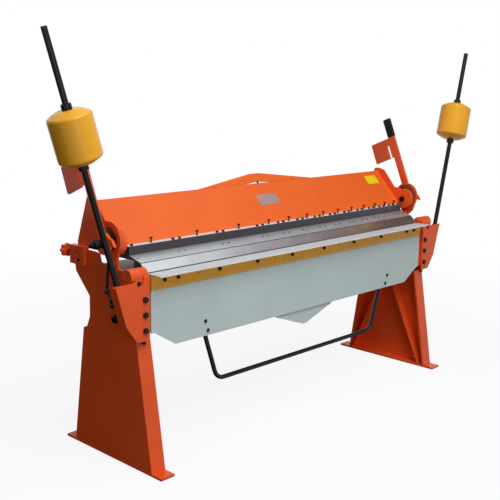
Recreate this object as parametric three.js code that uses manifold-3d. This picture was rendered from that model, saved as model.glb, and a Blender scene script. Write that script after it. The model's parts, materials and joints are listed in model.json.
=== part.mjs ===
// Segmented sheet metal brake with counterweights, in millimetres.
// X runs along the bed, Y runs to the rear from the fold line, Z runs up from the floor.
import * as THREE from 'three';
import { mergeVertices } from 'three/addons/utils/BufferGeometryUtils.js';
import Module from 'manifold-3d';

const wasm = await Module();
wasm.setup();

// Clearances and facet counts shared by every piece
const gap = 0.3;
const runningGap = 0.45;
const overrun = 4;
const smallSides = 8;
const boltSides = 10;
const shaftSides = 20;
const discSides = 28;
const bendSteps = 5;

// Driving sizes of the machine
const segmentWidths = [275, 275, 275, 155, 150, 140, 130, 125, 120, 110, 100, 95, 90];
const segmentGap = 0.4;
const bedHeight = 862;
const baseThickness = 12;
const plateThickness = 12;
const sideReach = 54;
const flangeWidth = 76;

const workLength = segmentWidths.reduce((sum, width) => sum + width, 0);
const workHalf = workLength / 2;
const sideInner = workHalf + sideReach;
const sideOuter = sideInner + plateThickness;
const flangeInner = sideOuter - flangeWidth;

// Colours of the finishes
const orange = 0xf26b2a;
const ochre = 0xd9982a;
const apronGrey = 0xa3b0af;
const polished = 0xc9ced2;
const darkSteel = 0x4a484c;
const black = 0x1c1c1e;
const brownSteel = 0x6a4a3a;

// Solids, faces out

function bare(geometry) {
  const copy = geometry.clone();
  for (const name of Object.keys(copy.attributes)) {
    if (name !== 'position') copy.deleteAttribute(name);
  }
  return mergeVertices(copy);
}

function toSolid(geometry) {
  const welded = bare(geometry);
  return new wasm.Manifold(new wasm.Mesh({
    numProp: 3,
    vertProperties: welded.attributes.position.array,
    triVerts: new Uint32Array(welded.index.array),
  }));
}

function toGeometry(solid) {
  const mesh = solid.getMesh();
  const geometry = new THREE.BufferGeometry();
  geometry.setAttribute('position', new THREE.BufferAttribute(mesh.vertProperties, 3));
  geometry.setIndex(new THREE.BufferAttribute(mesh.triVerts, 1));
  return geometry;
}

function join(first, ...others) {
  return toGeometry(others.reduce((solid, other) => solid.add(toSolid(other)), toSolid(first)));
}

function cut(first, ...tools) {
  return toGeometry(tools.reduce((solid, tool) => solid.subtract(toSolid(tool)), toSolid(first)));
}

function flipped(geometry) {
  const index = geometry.index.array;
  for (let corner = 0; corner < index.length; corner += 3) {
    [index[corner + 1], index[corner + 2]] = [index[corner + 2], index[corner + 1]];
  }
  return geometry;
}

function mirrored(geometry) {
  const copy = bare(geometry);
  copy.scale(-1, 1, 1);
  return flipped(copy);
}

// Outlines

function outline(points, holes = []) {
  const shape = new THREE.Shape(points.map(([across, up]) => new THREE.Vector2(across, up)));
  shape.holes.push(...holes);
  return shape;
}

function circlePoints(across, up, radius, sides) {
  const turns = Array.from({ length: sides }, (unused, index) => (2 * Math.PI * index) / sides);
  return turns.map((turn) => [across + radius * Math.cos(turn), up + radius * Math.sin(turn)]);
}

function hole(across, up, radius, sides = shaftSides) {
  const points = circlePoints(across, up, radius, sides);
  return new THREE.Path(points.map(([a, b]) => new THREE.Vector2(a, b)));
}

function disc(across, up, radius, sides = shaftSides) {
  return outline(circlePoints(across, up, radius, sides));
}

function extruded(shape, depth) {
  return new THREE.ExtrudeGeometry(shape, { depth, bevelEnabled: false, curveSegments: smallSides });
}

// A sheet whose outline is in (Y, Z), standing between two places along X
function sideSheet(shape, from, to) {
  const basis = new THREE.Matrix4().makeBasis(
    new THREE.Vector3(0, 1, 0), new THREE.Vector3(0, 0, 1), new THREE.Vector3(1, 0, 0));
  return extruded(shape, to - from).applyMatrix4(basis).translate(from, 0, 0);
}

// A sheet whose outline is in (X, Z), standing between two places along Y
function frontSheet(shape, from, to) {
  const basis = new THREE.Matrix4().makeBasis(
    new THREE.Vector3(1, 0, 0), new THREE.Vector3(0, 0, 1), new THREE.Vector3(0, -1, 0));
  return extruded(shape, to - from).applyMatrix4(basis).translate(0, to, 0);
}

// A sheet whose outline is in (X, Y), lying between two heights
function flatSheet(shape, from, to) {
  return extruded(shape, to - from).translate(0, 0, from);
}

function block(x, y, z) {
  return flatSheet(outline([[x[0], y[0]], [x[1], y[0]], [x[1], y[1]], [x[0], y[1]]]), z[0], z[1]);
}

function rod(from, to, radius, sides = shaftSides) {
  const start = new THREE.Vector3(...from);
  const span = new THREE.Vector3(...to).sub(start);
  const geometry = new THREE.CylinderGeometry(radius, radius, span.length(), sides);
  const turn = new THREE.Quaternion().setFromUnitVectors(
    new THREE.Vector3(0, 1, 0), span.clone().normalize());
  return geometry.applyQuaternion(turn).translate(...start.addScaledVector(span, 0.5).toArray());
}

// A turned piece: [radius, distance] pairs from the start point along a direction
function turned(profile, start, direction, sides = shaftSides) {
  const points = profile.map(([radius, along]) => new THREE.Vector2(radius, along));
  const turn = new THREE.Quaternion().setFromUnitVectors(
    new THREE.Vector3(0, 1, 0), new THREE.Vector3(...direction).normalize());
  const geometry = bare(new THREE.LatheGeometry(points, sides));
  const solid = geometry.applyQuaternion(turn).translate(...start);
  return toSolid(solid).volume() < 0 ? flipped(solid) : solid;
}

// The scene graph

const machine = new THREE.Group();

function piece(name, colour, roughness, metalness, solid) {
  const geometry = bare(solid);
  geometry.computeVertexNormals();
  const material = new THREE.MeshStandardMaterial({ color: colour, roughness, metalness });
  const mesh = new THREE.Mesh(geometry, material);
  mesh.name = name;
  machine.add(mesh);
}

const painted = (name, solid) => piece(name, orange, 0.45, 0, solid);
const ochrePainted = (name, solid) => piece(name, ochre, 0.4, 0.1, solid);
const greyPainted = (name, solid) => piece(name, apronGrey, 0.5, 0.1, solid);
const blackened = (name, solid) => piece(name, black, 0.5, 0.6, solid);
const browned = (name, solid) => piece(name, brownSteel, 0.4, 0.8, solid);
const darkened = (name, solid) => piece(name, darkSteel, 0.5, 0.7, solid);
const ground = (name, solid) => piece(name, polished, 0.25, 1, solid);

function pair(name, finish, solid) {
  finish(`${name}_right`, solid);
  finish(`${name}_left`, mirrored(solid));
}

// Shafts, studs and where they stand: [Y, Z], from their places over the bed
const pivotPlace = { back: 382, rise: 43 };
const hubPlace = { back: 134, rise: 125 };
const linkFootPlace = { back: 130, rise: 40 };

function overBed({ back, rise }) {
  return [back, bedHeight + rise];
}

const foldAxis = [0, bedHeight];
const housingRadius = 32;
const hingePinRadius = 14;
const knuckle = { reach: 16, width: 25, slit: 2, overhang: 40 };
const innerKnuckle = [workHalf + knuckle.reach, workHalf + knuckle.reach + knuckle.width];
const outerKnuckle = [innerKnuckle[1] + knuckle.slit, sideOuter + knuckle.overhang];

const beamPivot = overBed(pivotPlace);
const pivotPinRadius = 15;
const leverHub = overBed(hubPlace);
const studRadius = 12;
const eccentricThrow = 17;
const eccentricCentre = [leverHub[0], leverHub[1] + eccentricThrow];
const linkFoot = overBed(linkFootPlace);
const linkPinRadius = 7;
const linkPinPlay = 5;
const setbackTravel = 12;

// Rear block that carries the clamping beam's pivot
const rearBlock = { lead: 52, depth: 104, drop: 49, height: 84, thickness: 30, slit: 7, overlap: 12 };
const blockFront = beamPivot[0] - rearBlock.lead;
const blockBack = blockFront + rearBlock.depth;
const blockBottom = beamPivot[1] - rearBlock.drop;
const blockTop = blockBottom + rearBlock.height;

// Stand: two bent side frames, their feet and inner braces
const stand = { front: -102, depth: 553, neck: -9, rearShoulderStep: 24 };
const lugRadius = 18;
const frontToe = 61.5;
const rearToe = 70.3;
const rib = { thickness: 12, frontInset: 43, rearInset: 22, step: 2, post: 45 };
const ribApexShare = 0.528;

// Outline of a side frame: along its top, as shares of the run from the neck to the rear block,
// and down its rear edge, as shares of the stand's depth, with heights as shares of the bed's
const shoulderShares = { front: 0.666, rear: 0.659 };
const topOutlineShares = [
  [0.398, 1.013], [0.599, 1.023], [0.671, 1.021], [0.741, 1.026], [0.771, 1.068], [0.883, 1.073]];
const rearOutlineShares = [[0.935, 0.95], [0.758, 0.835], [0.761, 0.726], [0.805, 0.667]];

function outlinePoints(shares, start, run) {
  return shares.map(([along, up]) => [start + along * run, up * bedHeight]);
}

const standFloor = baseThickness + gap;
const standRear = stand.front + stand.depth;
const frontShoulder = shoulderShares.front * bedHeight;
const rearShoulder = shoulderShares.rear * bedHeight;
const rearOutline = outlinePoints(rearOutlineShares, stand.front, stand.depth);
const rearShoulderY = rearOutline.at(-1)[0] + stand.rearShoulderStep;
const shelfHeight = blockBottom - gap;

function sideFrame() {
  const stepFace = blockFront - rearBlock.slit;
  const topOutline = outlinePoints(topOutlineShares, stand.neck, stepFace - stand.neck);
  const plate = sideSheet(outline([
    [stand.front, standFloor],
    [standRear, standFloor],
    [rearShoulderY, rearShoulder],
    ...rearOutline.toReversed(),
    [blockBack - rearBlock.overlap, shelfHeight],
    [stepFace, shelfHeight],
    [stepFace, topOutline.at(-1)[1]],
    ...topOutline.toReversed(),
    [stand.neck, bedHeight],
    [stand.neck, frontShoulder],
  ]), sideInner, sideOuter);
  const lug = setbackSlot(lugRadius, [sideInner, sideOuter]);
  const neck = block([sideInner, sideOuter],
    [linkFoot[0] - lugRadius, linkFoot[0] + setbackTravel + lugRadius], [bedHeight, linkFoot[1]]);
  const frontFlange = sideSheet(outline([
    [stand.front, standFloor],
    [stand.front + plateThickness, standFloor],
    [stand.neck + plateThickness, frontShoulder],
    [stand.neck, frontShoulder],
  ]), flangeInner, sideOuter);
  const rearFlange = sideSheet(outline([
    [standRear - plateThickness, standFloor],
    [standRear, standFloor],
    [rearShoulderY, rearShoulder],
    [rearShoulderY - plateThickness, rearShoulder],
  ]), flangeInner, sideOuter);
  const housing = sideSheet(disc(...foldAxis, housingRadius, discSides), ...outerKnuckle);
  return cut(join(plate, ...lug, neck, frontFlange, rearFlange, housing), pinBore(outerKnuckle),
    ...setbackSlot(linkPinRadius + linkPinPlay, [sideInner - overrun, sideOuter + overrun]));
}

// The link's pin follows the clamping beam to the rear, so its lug and hole are drawn out that way
function setbackSlot(radius, x) {
  const [front, z] = linkFoot;
  const rear = front + setbackTravel;
  return [
    sideSheet(disc(front, z, radius), ...x),
    sideSheet(disc(rear, z, radius), ...x),
    block(x, [front, rear], [z - radius, z + radius]),
  ];
}

// Hole for the hinge pin through a knuckle
function pinBore([from, to]) {
  return sideSheet(disc(...foldAxis, hingePinRadius + runningGap), from - overrun, to + overrun);
}

// Bed: a channel between the side frames under a thick ground plate
const bed = { noseSetback: 0.5, thickness: 24, depth: 300, endReach: 40 };
const channel = { depth: 224, height: 238, wall: 12 };
const beamFront = housingRadius + overrun;
const beamTop = bedHeight - bed.thickness - gap;
const beamBottom = beamTop - channel.height;
const bedShoulder = beamFront + overrun;

function standRibs() {
  const top = beamBottom - gap;
  const apex = stand.front + ribApexShare * stand.depth;
  const half = rib.thickness / 2;
  const leg = (foot) => sideSheet(outline([
    [foot - half, standFloor], [foot + half, standFloor], [apex + half, top - rib.post],
    [apex + half, top], [apex - half, top], [apex - half, top - rib.post],
  ]), flangeInner + rib.step, sideInner - gap);
  return join(leg(stand.front + rib.frontInset), leg(standRear - rib.rearInset));
}

function bedBeam() {
  const back = beamFront + channel.depth;
  const web = beamFront + channel.wall;
  return sideSheet(outline([
    [beamFront, beamBottom], [back, beamBottom], [back, beamBottom + channel.wall],
    [web, beamBottom + channel.wall], [web, beamTop - channel.wall], [back, beamTop - channel.wall],
    [back, beamTop], [beamFront, beamTop],
  ]), gap - sideInner, sideInner - gap);
}

function bedTopPlate() {
  const wide = workHalf + bed.endReach;
  return flatSheet(outline([
    [-workHalf, bed.noseSetback], [workHalf, bed.noseSetback], [workHalf, bedShoulder],
    [wide, bedShoulder], [wide, bed.depth], [-wide, bed.depth], [-wide, bedShoulder],
    [-workHalf, bedShoulder],
  ]), bedHeight - bed.thickness, bedHeight);
}

function makeStand() {
  pair('side_frame', painted, sideFrame());
  pair('base_plate', painted, block([flangeInner, sideOuter],
    [stand.front - frontToe, standRear + rearToe], [0, baseThickness]));
  pair('stand_rib', painted, standRibs());
  painted('bed_beam', bedBeam());
  ground('bed_top_plate', bedTopPlate());
  const pinEnds = [innerKnuckle[0] + gap, outerKnuckle[1] - gap];
  pair('hinge_pin', ground, sideSheet(disc(...foldAxis, hingePinRadius), ...pinEnds));
}

// Rear blocks with their star knobs
const knob = { standOff: 37, rise: 50, depth: 22, radius: 27.5, lobe: 3.5, lobes: 7, shaft: 6, bite: 34 };
const knobCollar = { radius: 11, depth: 12 };
const blockInner = sideInner + gap;
const blockOuter = blockInner + rearBlock.thickness;
const knobX = (blockInner + blockOuter) / 2;
const knobY = blockBack + knob.standOff;
const knobZ = blockBottom + knob.rise;
const blockBolt = { back: 63, radius: 9, depth: 4 };

function rearBlockSolid() {
  const body = sideSheet(outline([
    [blockFront, blockBottom], [blockBack, blockBottom], [blockBack, blockTop], [blockFront, blockTop],
  ], [hole(...beamPivot, pivotPinRadius + runningGap)]), blockInner, blockOuter);
  const boltPlace = [blockFront + blockBolt.back, blockBottom + blockBolt.radius + gap];
  const stub = sideSheet(disc(...boltPlace, blockBolt.radius, boltSides),
    blockOuter - overrun, blockOuter + blockBolt.depth);
  return cut(join(body, stub), rod([knobX, blockBack - knob.bite - gap, knobZ],
    [knobX, blockBack + overrun, knobZ], knob.shaft + gap));
}

function knobSolid() {
  const count = knob.lobes * smallSides;
  const star = Array.from({ length: count }, (unused, index) => {
    const turn = (2 * Math.PI * index) / count;
    const radius = knob.radius + knob.lobe * Math.cos(knob.lobes * turn);
    return [knobX + radius * Math.cos(turn), knobZ + radius * Math.sin(turn)];
  });
  const inside = [knobX, knobY + overrun, knobZ];
  return join(
    frontSheet(outline(star), knobY, knobY + knob.depth),
    rod([knobX, knobY - knobCollar.depth, knobZ], inside, knobCollar.radius),
    rod([knobX, blockBack - knob.bite, knobZ], inside, knob.shaft, boltSides));
}

function makeRearBlocks() {
  pair('rear_block', painted, rearBlockSolid());
  pair('setback_knob', painted, knobSolid());
}

// Clamping beam: a folded box of plates between two end plates
const clampBar = { front: 116, depth: 84, rise: 60, height: 39 };
const barBottom = bedHeight + clampBar.rise;
const barTop = barBottom + clampBar.height;
const clampWall = 8;
const clampPlateFoot = 155;
const frontTopPlace = { back: 321, rise: 281 };
const rearTopPlace = { back: 334.5, rise: 279 };
const rearFootPlace = { back: 418, rise: 90 };
const rearEndPlace = { back: 423, rise: 78 };
const clampPlateTop = overBed(frontTopPlace);
const rearPlateTop = overBed(rearTopPlace);
const rearPlateFoot = overBed(rearFootPlace);
const rearPlateEnd = overBed(rearEndPlace);
const endPlate = { reach: 40, thickness: 12, earDepth: 30, earRadius: 58, lobeRadius: 30 };
const endInner = workHalf + endPlate.reach;
const clampHalf = endInner - gap;
const earFace = endInner + endPlate.earDepth;
const earPlace = { back: 132, rise: 126 };
const earCentre = overBed(earPlace);

function heading(from, to) {
  return new THREE.Vector2(to[0] - from[0], to[1] - from[1]).normalize();
}

function inset([y, z], direction, distance) {
  return [y + direction.y * distance, z - direction.x * distance];
}

const clampRun = heading([clampPlateFoot, barTop], clampPlateTop);

function clampFrontPlate() {
  return sideSheet(outline([
    [clampPlateFoot, barTop + gap],
    [clampPlateFoot + clampWall / clampRun.y, barTop + gap],
    inset(clampPlateTop, clampRun, clampWall),
    clampPlateTop,
  ]), -clampHalf, clampHalf);
}

function clampRearPlate() {
  const down = heading(rearPlateTop, rearPlateFoot);
  return sideSheet(outline([
    rearPlateTop,
    inset(rearPlateTop, down, clampWall),
    inset(rearPlateFoot, down, clampWall),
    [rearPlateEnd[0] - clampWall, rearPlateEnd[1]],
    rearPlateEnd,
    rearPlateFoot,
  ]), -clampHalf, clampHalf);
}

// End plate outline above and behind the ear, as shares of the rise from the bar's foot to the apex
const endRise = { bottom: 68, apex: 298 };
const endBottom = bedHeight + endRise.bottom;
const endOutlineShares = [
  [0.1, 0], [0, 0.5], [0.235, 0.54], [0.504, 0.953], [0.631, 1], [0.72, 0.991], [0.738, 0.935]];

function clampEndPlate() {
  const rise = endRise.apex - endRise.bottom;
  const run = rearPlateEnd[0] - earCentre[0];
  const points = endOutlineShares.map(([along, up]) => [earCentre[0] + along * run, endBottom + up * rise]);
  const outer = endInner + endPlate.thickness;
  const web = sideSheet(outline([
    ...points.reverse(),
    [beamPivot[0] - endPlate.lobeRadius, endBottom],
    [beamPivot[0] - endPlate.lobeRadius, beamPivot[1]],
    [beamPivot[0] + endPlate.lobeRadius, beamPivot[1]],
    rearPlateFoot,
  ]), endInner, outer);
  const ear = sideSheet(disc(...earCentre, endPlate.earRadius, discSides), endInner, earFace);
  const lobe = sideSheet(disc(...beamPivot, endPlate.lobeRadius), endInner, outer);
  const through = [endInner - overrun, earFace + overrun];
  return cut(join(web, ear, lobe),
    sideSheet(disc(...leverHub, studRadius + runningGap), ...through),
    sideSheet(disc(...beamPivot, pivotPinRadius + gap), ...through));
}

// Truss plate standing on the clamping beam's ridge, with a bowed slit and a crowning screw
const truss = { half: 430, apexHalf: 35, height: 58, thickness: 6, lean: 33.8 };
const trussSlit = { half: 110, height: 10 };
const trussSeat = { back: 1.2, drop: 0.4 };
const trussFoot = [clampPlateTop[0] + trussSeat.back, clampPlateTop[1] - trussSeat.drop];
const crownScrewRadius = 5;

// A sheet that leans to the rear from the truss's foot
function leaned(shape) {
  const lean = THREE.MathUtils.degToRad(truss.lean);
  const upward = new THREE.Vector3(0, Math.sin(lean), Math.cos(lean));
  const rearward = new THREE.Vector3(0, Math.cos(lean), -Math.sin(lean));
  const basis = new THREE.Matrix4().makeBasis(
    new THREE.Vector3(1, 0, 0), upward, rearward.clone().negate());
  return extruded(shape, truss.thickness).applyMatrix4(basis)
    .translate(0, trussFoot[0] + rearward.y * truss.thickness, trussFoot[1] + rearward.z * truss.thickness);
}

function clampTruss() {
  return leaned(outline([
    [-truss.half, 0], [-trussSlit.half, 0], [0, trussSlit.height], [trussSlit.half, 0],
    [truss.half, 0], [truss.apexHalf, truss.height], [-truss.apexHalf, truss.height],
  ]));
}

function crowningScrew() {
  const top = trussSlit.height * (1 - crownScrewRadius / trussSlit.half) - gap;
  return leaned(outline([
    [-crownScrewRadius, 0], [crownScrewRadius, 0], [crownScrewRadius, top], [-crownScrewRadius, top],
  ]));
}

// Fingers: thirteen segments hung under the clamp bar by their rear flange
const finger = { heel: 85, flangeBack: 185, flangeBottom: 43 };
const knee = { back: 41, rise: 39.3 };
const nosePad = bedHeight + gap;
const segmentEdges = segmentWidths.reduce((edges, width) => [...edges, edges.at(-1) + width], [-workHalf]);
const segmentCentres = segmentWidths.map((width, index) => segmentEdges[index] + width / 2);
const screwOffset = 20;
const countersunk = { back: 85, radius: 6, depth: 4 };
const capScrew = { inset: 8, head: 7, headHeight: 8.5 };
const tBolt = { inset: 19, head: 7, headHeight: 7, shank: 3.5, rise: 24 };

function screwPlaces() {
  return segmentEdges.flatMap((edge) => [edge - screwOffset, edge + screwOffset])
    .filter((x) => Math.abs(x) < workHalf);
}

// The ledge slopes from the knee up to the foot of the clamp bar, and a screw sits square on it
const fingerTop = barBottom - gap;
const ledgeSlope = (fingerTop - bedHeight - knee.rise) / (clampBar.front - knee.back);
const ledgeNormal = new THREE.Vector3(0, -ledgeSlope, 1).normalize();
const ledgeAt = (back) => bedHeight + knee.rise + (back - knee.back) * ledgeSlope;

function aboveLedge(x, reach) {
  return [x, countersunk.back + ledgeNormal.y * reach, ledgeAt(countersunk.back) + ledgeNormal.z * reach];
}

function fingerSolid(index) {
  const from = segmentEdges[index] + segmentGap / 2;
  const to = segmentEdges[index + 1] - segmentGap / 2;
  const body = sideSheet(outline([
    [0, nosePad], [finger.heel, nosePad], [finger.heel, bedHeight + finger.flangeBottom],
    [finger.flangeBack, bedHeight + finger.flangeBottom], [finger.flangeBack, fingerTop],
    [clampBar.front, fingerTop], overBed(knee),
  ]), from, to);
  const pockets = screwPlaces().filter((x) => x > from && x < to).map((x) => rod(
    aboveLedge(x, -countersunk.depth - gap), aboveLedge(x, overrun), countersunk.radius + gap, smallSides));
  return pockets.length ? cut(body, ...pockets) : body;
}

// The clamp bar, with a T bolt over each segment and cap screws beside each joint
function clampBarSolid() {
  const barDepth = [clampBar.front, clampBar.front + clampBar.depth];
  const bar = block([-workHalf, workHalf], barDepth, [barBottom, barTop]);
  const boltRow = clampBar.front + tBolt.inset;
  const screwRow = clampBar.front + capScrew.inset;
  const upright = (x, y, from, to, radius) => rod([x, y, from], [x, y, to], radius, smallSides);
  const root = barTop - overrun;
  const boltTop = barTop + tBolt.rise;
  const stemTop = boltTop - tBolt.headHeight / 2;
  const stems = segmentCentres.map((x) => upright(x, boltRow, root, stemTop, tBolt.shank));
  const heads = segmentCentres.map((x) => upright(x, boltRow, boltTop - tBolt.headHeight, boltTop, tBolt.head));
  const screws = screwPlaces().map(
    (x) => upright(x, screwRow, root, barTop + capScrew.headHeight, capScrew.head));
  return join(bar, ...stems, ...heads, ...screws);
}

function makeClampBeam() {
  painted('clamp_front_plate', clampFrontPlate());
  painted('clamp_rear_plate', clampRearPlate());
  pair('clamp_end_plate', painted, clampEndPlate());
  painted('clamp_truss_plate', clampTruss());
  painted('crowning_screw', crowningScrew());
  darkened('finger_clamp_bar', clampBarSolid());
  segmentWidths.forEach((width, index) => {
    ground(`finger_${String(index + 1).padStart(2, '0')}`, fingerSolid(index));
  });
  pair('beam_pivot_pin', ground, sideSheet(
    disc(...beamPivot, pivotPinRadius), endInner - overrun, blockOuter - overrun));
}

// Clamp levers: a handle on an eccentric that draws a link down against the stand
const eccentric = { flange: 68, flangeDepth: 7.4, core: 50, spacer: 30, head: 16, headDepth: 11 };
const linkPlate = { thickness: 12, ring: 75, foot: 18 };
const lever = { lean: 22.4, thickness: 15, width: 40, hub: 48, length: 389, offset: 20 };
const grip = { length: 111, width: 50, depth: 25, tangWidth: 24, tangDepth: 8, cap: 8 };
const flag = { bottom: 264, top: 386, reach: 156, slotNear: 32, slotWidth: 20, slotTop: 346 };
const nut = { sleeve: 17, standOff: 24, radius: 21, depth: 22, studEnd: 18 };

const linkInner = earFace + gap + eccentric.flangeDepth + gap;
const linkOuter = linkInner + linkPlate.thickness;
const leverInner = linkOuter + lever.offset;
const leverOuter = leverInner + lever.thickness;
const leverTurn = THREE.MathUtils.degToRad(lever.lean);

// A place on the lever, by its distance up the handle and to the rear of it
function onLever(up, rear) {
  return [
    leverHub[0] + up * Math.sin(leverTurn) + rear * Math.cos(leverTurn),
    leverHub[1] + up * Math.cos(leverTurn) - rear * Math.sin(leverTurn),
  ];
}

function leverBox(up, rear, x) {
  return sideSheet(outline([
    onLever(up[0], rear[0]), onLever(up[0], rear[1]), onLever(up[1], rear[1]), onLever(up[1], rear[0]),
  ]), ...x);
}

// Stop nose at the front of the hub, as shares of the hub's radius from its centre
const noseOutlineShares = [[-0.5, 0.7], [-1.23, 0.44], [-1.6, -0.125], [-1.02, -0.04], [-0.5, -0.4]];

function leverSolid() {
  const x = [leverInner, leverOuter];
  const edge = lever.width / 2;
  const bar = leverBox([0, lever.length], [-edge, edge], x);
  const nose = sideSheet(outline(noseOutlineShares.map(([along, up]) => [
    leverHub[0] + along * lever.hub, leverHub[1] + up * lever.hub])), ...x);
  const middle = (x[0] + x[1]) / 2;
  const tang = leverBox([lever.length - overrun, lever.length + grip.length - grip.cap],
    [-grip.tangWidth / 2, grip.tangWidth / 2], [middle - grip.tangDepth / 2, middle + grip.tangDepth / 2]);
  const plate = leverBox([flag.bottom, flag.top], [edge - overrun, flag.reach], x);
  const slotEnd = flag.slotTop - flag.slotWidth / 2;
  const slotMiddle = flag.slotNear + flag.slotWidth / 2;
  const through = [x[0] - overrun, x[1] + overrun];
  return cut(join(bar, sideSheet(disc(...leverHub, lever.hub, discSides), ...x), nose, plate, tang),
    leverBox([flag.bottom - overrun, slotEnd], [flag.slotNear, flag.slotNear + flag.slotWidth], through),
    sideSheet(disc(...onLever(slotEnd, slotMiddle), flag.slotWidth / 2), ...through),
    sideSheet(disc(...leverHub, studRadius + gap), ...through));
}

function gripSolid() {
  const middle = (leverInner + leverOuter) / 2;
  const from = lever.length + gap;
  const body = leverBox([from, from + grip.length], [-grip.width / 2, grip.width / 2],
    [middle - grip.depth / 2, middle + grip.depth / 2]);
  const socket = leverBox([from - overrun, lever.length + grip.length - grip.cap + gap],
    [-grip.tangWidth / 2 - gap, grip.tangWidth / 2 + gap],
    [middle - grip.tangDepth / 2 - gap, middle + grip.tangDepth / 2 + gap]);
  return cut(body, socket);
}

function eccentricSolid() {
  const flangeFace = earFace + gap;
  const start = endInner - gap - eccentric.headDepth;
  const sleeveFace = leverOuter + gap - start;
  const nutFace = sleeveFace + nut.standOff;
  const nutEnd = nutFace + nut.depth;
  const stud = turned([
    [0, 0], [eccentric.head, 0], [eccentric.head, eccentric.headDepth], [studRadius, eccentric.headDepth],
    [studRadius, linkOuter - start], [eccentric.spacer, linkOuter + gap - start],
    [eccentric.spacer, leverInner - gap - start], [studRadius, leverInner - gap - start],
    [studRadius, sleeveFace], [nut.sleeve, sleeveFace], [nut.sleeve, nutFace],
    [nut.radius, nutFace], [nut.radius, nutEnd],
    [studRadius, nutEnd], [studRadius, nutEnd + nut.studEnd], [0, nutEnd + nut.studEnd],
  ], [start, ...leverHub], [1, 0, 0]);
  const round = (radius, to) => sideSheet(disc(...eccentricCentre, radius, discSides), flangeFace, to);
  return join(stud,
    round(eccentric.flange, flangeFace + eccentric.flangeDepth), round(eccentric.core, linkOuter + gap));
}

// Link outline below its ring, as shares of the ring's radius from the eccentric's centre
const linkOutlineShares = [
  [-1, 0], [-0.9, -0.4], [-0.64, -1.13], [-0.3, -1.45], [0.24, -1.36], [0.98, -0.2], [1, 0]];

function linkSolid() {
  const x = [linkInner, linkOuter];
  const web = sideSheet(outline(linkOutlineShares.map(([along, up]) => [
    eccentricCentre[0] + along * linkPlate.ring, eccentricCentre[1] + up * linkPlate.ring])), ...x);
  const body = join(web,
    sideSheet(disc(...eccentricCentre, linkPlate.ring, discSides), ...x),
    sideSheet(disc(...linkFoot, linkPlate.foot), ...x),
    rod([sideInner - gap, ...linkFoot], [linkInner + overrun, ...linkFoot], linkPinRadius, boltSides));
  return cut(body, sideSheet(disc(...eccentricCentre, eccentric.core + runningGap, discSides),
    linkInner - overrun, linkOuter + overrun));
}

function makeLevers() {
  pair('clamp_lever', painted, leverSolid());
  pair('lever_grip', blackened, gripSolid());
  pair('clamp_link', painted, linkSolid());
  pair('eccentric', browned, eccentricSolid());
}

// Folding beam: apron, bar and blade, all in front of the fold line
const blade = { back: -3, depth: 84, thickness: 5, drop: 0.4, endGap: 2 };
const foldingBar = { front: -30, thickness: 15.7, height: 65 };
const apron = { front: -26, wall: 8, drop: 331, endRise: 74, flatInset: 138.3, endFlat: 18, upstand: 8 };
const bladeTop = bedHeight - blade.drop;
const foldBarTop = bladeTop - blade.thickness - gap;
const foldBarBottom = foldBarTop - foldingBar.height;
const apronTop = foldBarBottom - gap;
const apronBack = apron.front + apron.wall;
const apronFoot = bedHeight - apron.drop;
const bladeHalf = workHalf - blade.endGap;
const apronHalf = bladeHalf + gap;
const upstandFront = foldingBar.front + foldingBar.thickness + gap;

const foldBolt = { drop: 31.6, head: 8, headDepth: 9 };
const foldBoltShares = [0.122, 0.366, 0.61, 0.854, 0.929];
const liftBolt = { head: 9, headDepth: 6, shank: 5 };
const liftBoltRises = [69, 24];

const foldBoltPlaces = foldBoltShares.flatMap((share) => [share * workHalf, -share * workHalf]);

// Lift bar: a bent tube whose legs are bolted to the apron through spacers
const liftBar = { back: 5, radius: 10.75, bend: 45, spacer: 12 };
const liftBarTop = { x: 710, rise: 89 };
const liftBarCorner = { x: 601, rise: -236 };
const liftBoltPlaces = liftBoltRises.flatMap((rise) => {
  const along = (liftBarTop.rise - rise) / (liftBarTop.rise - liftBarCorner.rise);
  const x = liftBarTop.x + along * (liftBarCorner.x - liftBarTop.x);
  return [[x, apronFoot + rise], [-x, apronFoot + rise]];
});

function apronSolid() {
  const endZ = apronFoot + apron.endRise;
  const face = outline([
    [-apronHalf, apronTop], [-apronHalf, endZ], [apron.endFlat - apronHalf, endZ],
    [apron.flatInset - apronHalf, apronFoot], [apronHalf - apron.flatInset, apronFoot],
    [apronHalf - apron.endFlat, endZ], [apronHalf, endZ], [apronHalf, apronTop],
  ], liftBoltPlaces.map(([x, z]) => hole(x, z, liftBolt.shank + gap, smallSides)));
  const shelfBack = upstandFront + apron.upstand;
  return join(
    frontSheet(face, apron.front, apronBack),
    block([-apronHalf, apronHalf], [apron.front, shelfBack], [apronTop - apron.wall, apronTop]),
    block([-apronHalf, apronHalf], [upstandFront, shelfBack], [apronTop - apron.wall, foldBarTop]));
}

function foldingBarSolid() {
  const z = bedHeight - foldBolt.drop;
  const back = foldingBar.front + foldingBar.thickness;
  const bar = block([-bladeHalf, bladeHalf], [foldingBar.front, back], [foldBarBottom, foldBarTop]);
  const heads = foldBoltPlaces.map((x) => rod([x, foldingBar.front - foldBolt.headDepth, z],
    [x, foldingBar.front + overrun, z], foldBolt.head, boltSides));
  return join(bar, ...heads);
}

// Truss plate behind the apron's lower edge, a shallow V with its crowning gap
const apronTruss = { half: 219, hidden: 60, edge: 8, apex: 79, apexHalf: 12, wall: 8 };

function apronTrussSolid() {
  const front = apronBack + gap;
  const { half, apexHalf } = apronTruss;
  const top = apronFoot + apronTruss.hidden;
  const edge = apronFoot - apronTruss.edge;
  const apex = apronFoot - apronTruss.apex;
  return frontSheet(outline([
    [-half, top], [-half, edge], [-apexHalf, apex], [apexHalf, apex], [half, edge], [half, top],
  ]), front, front + apronTruss.wall);
}

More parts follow.
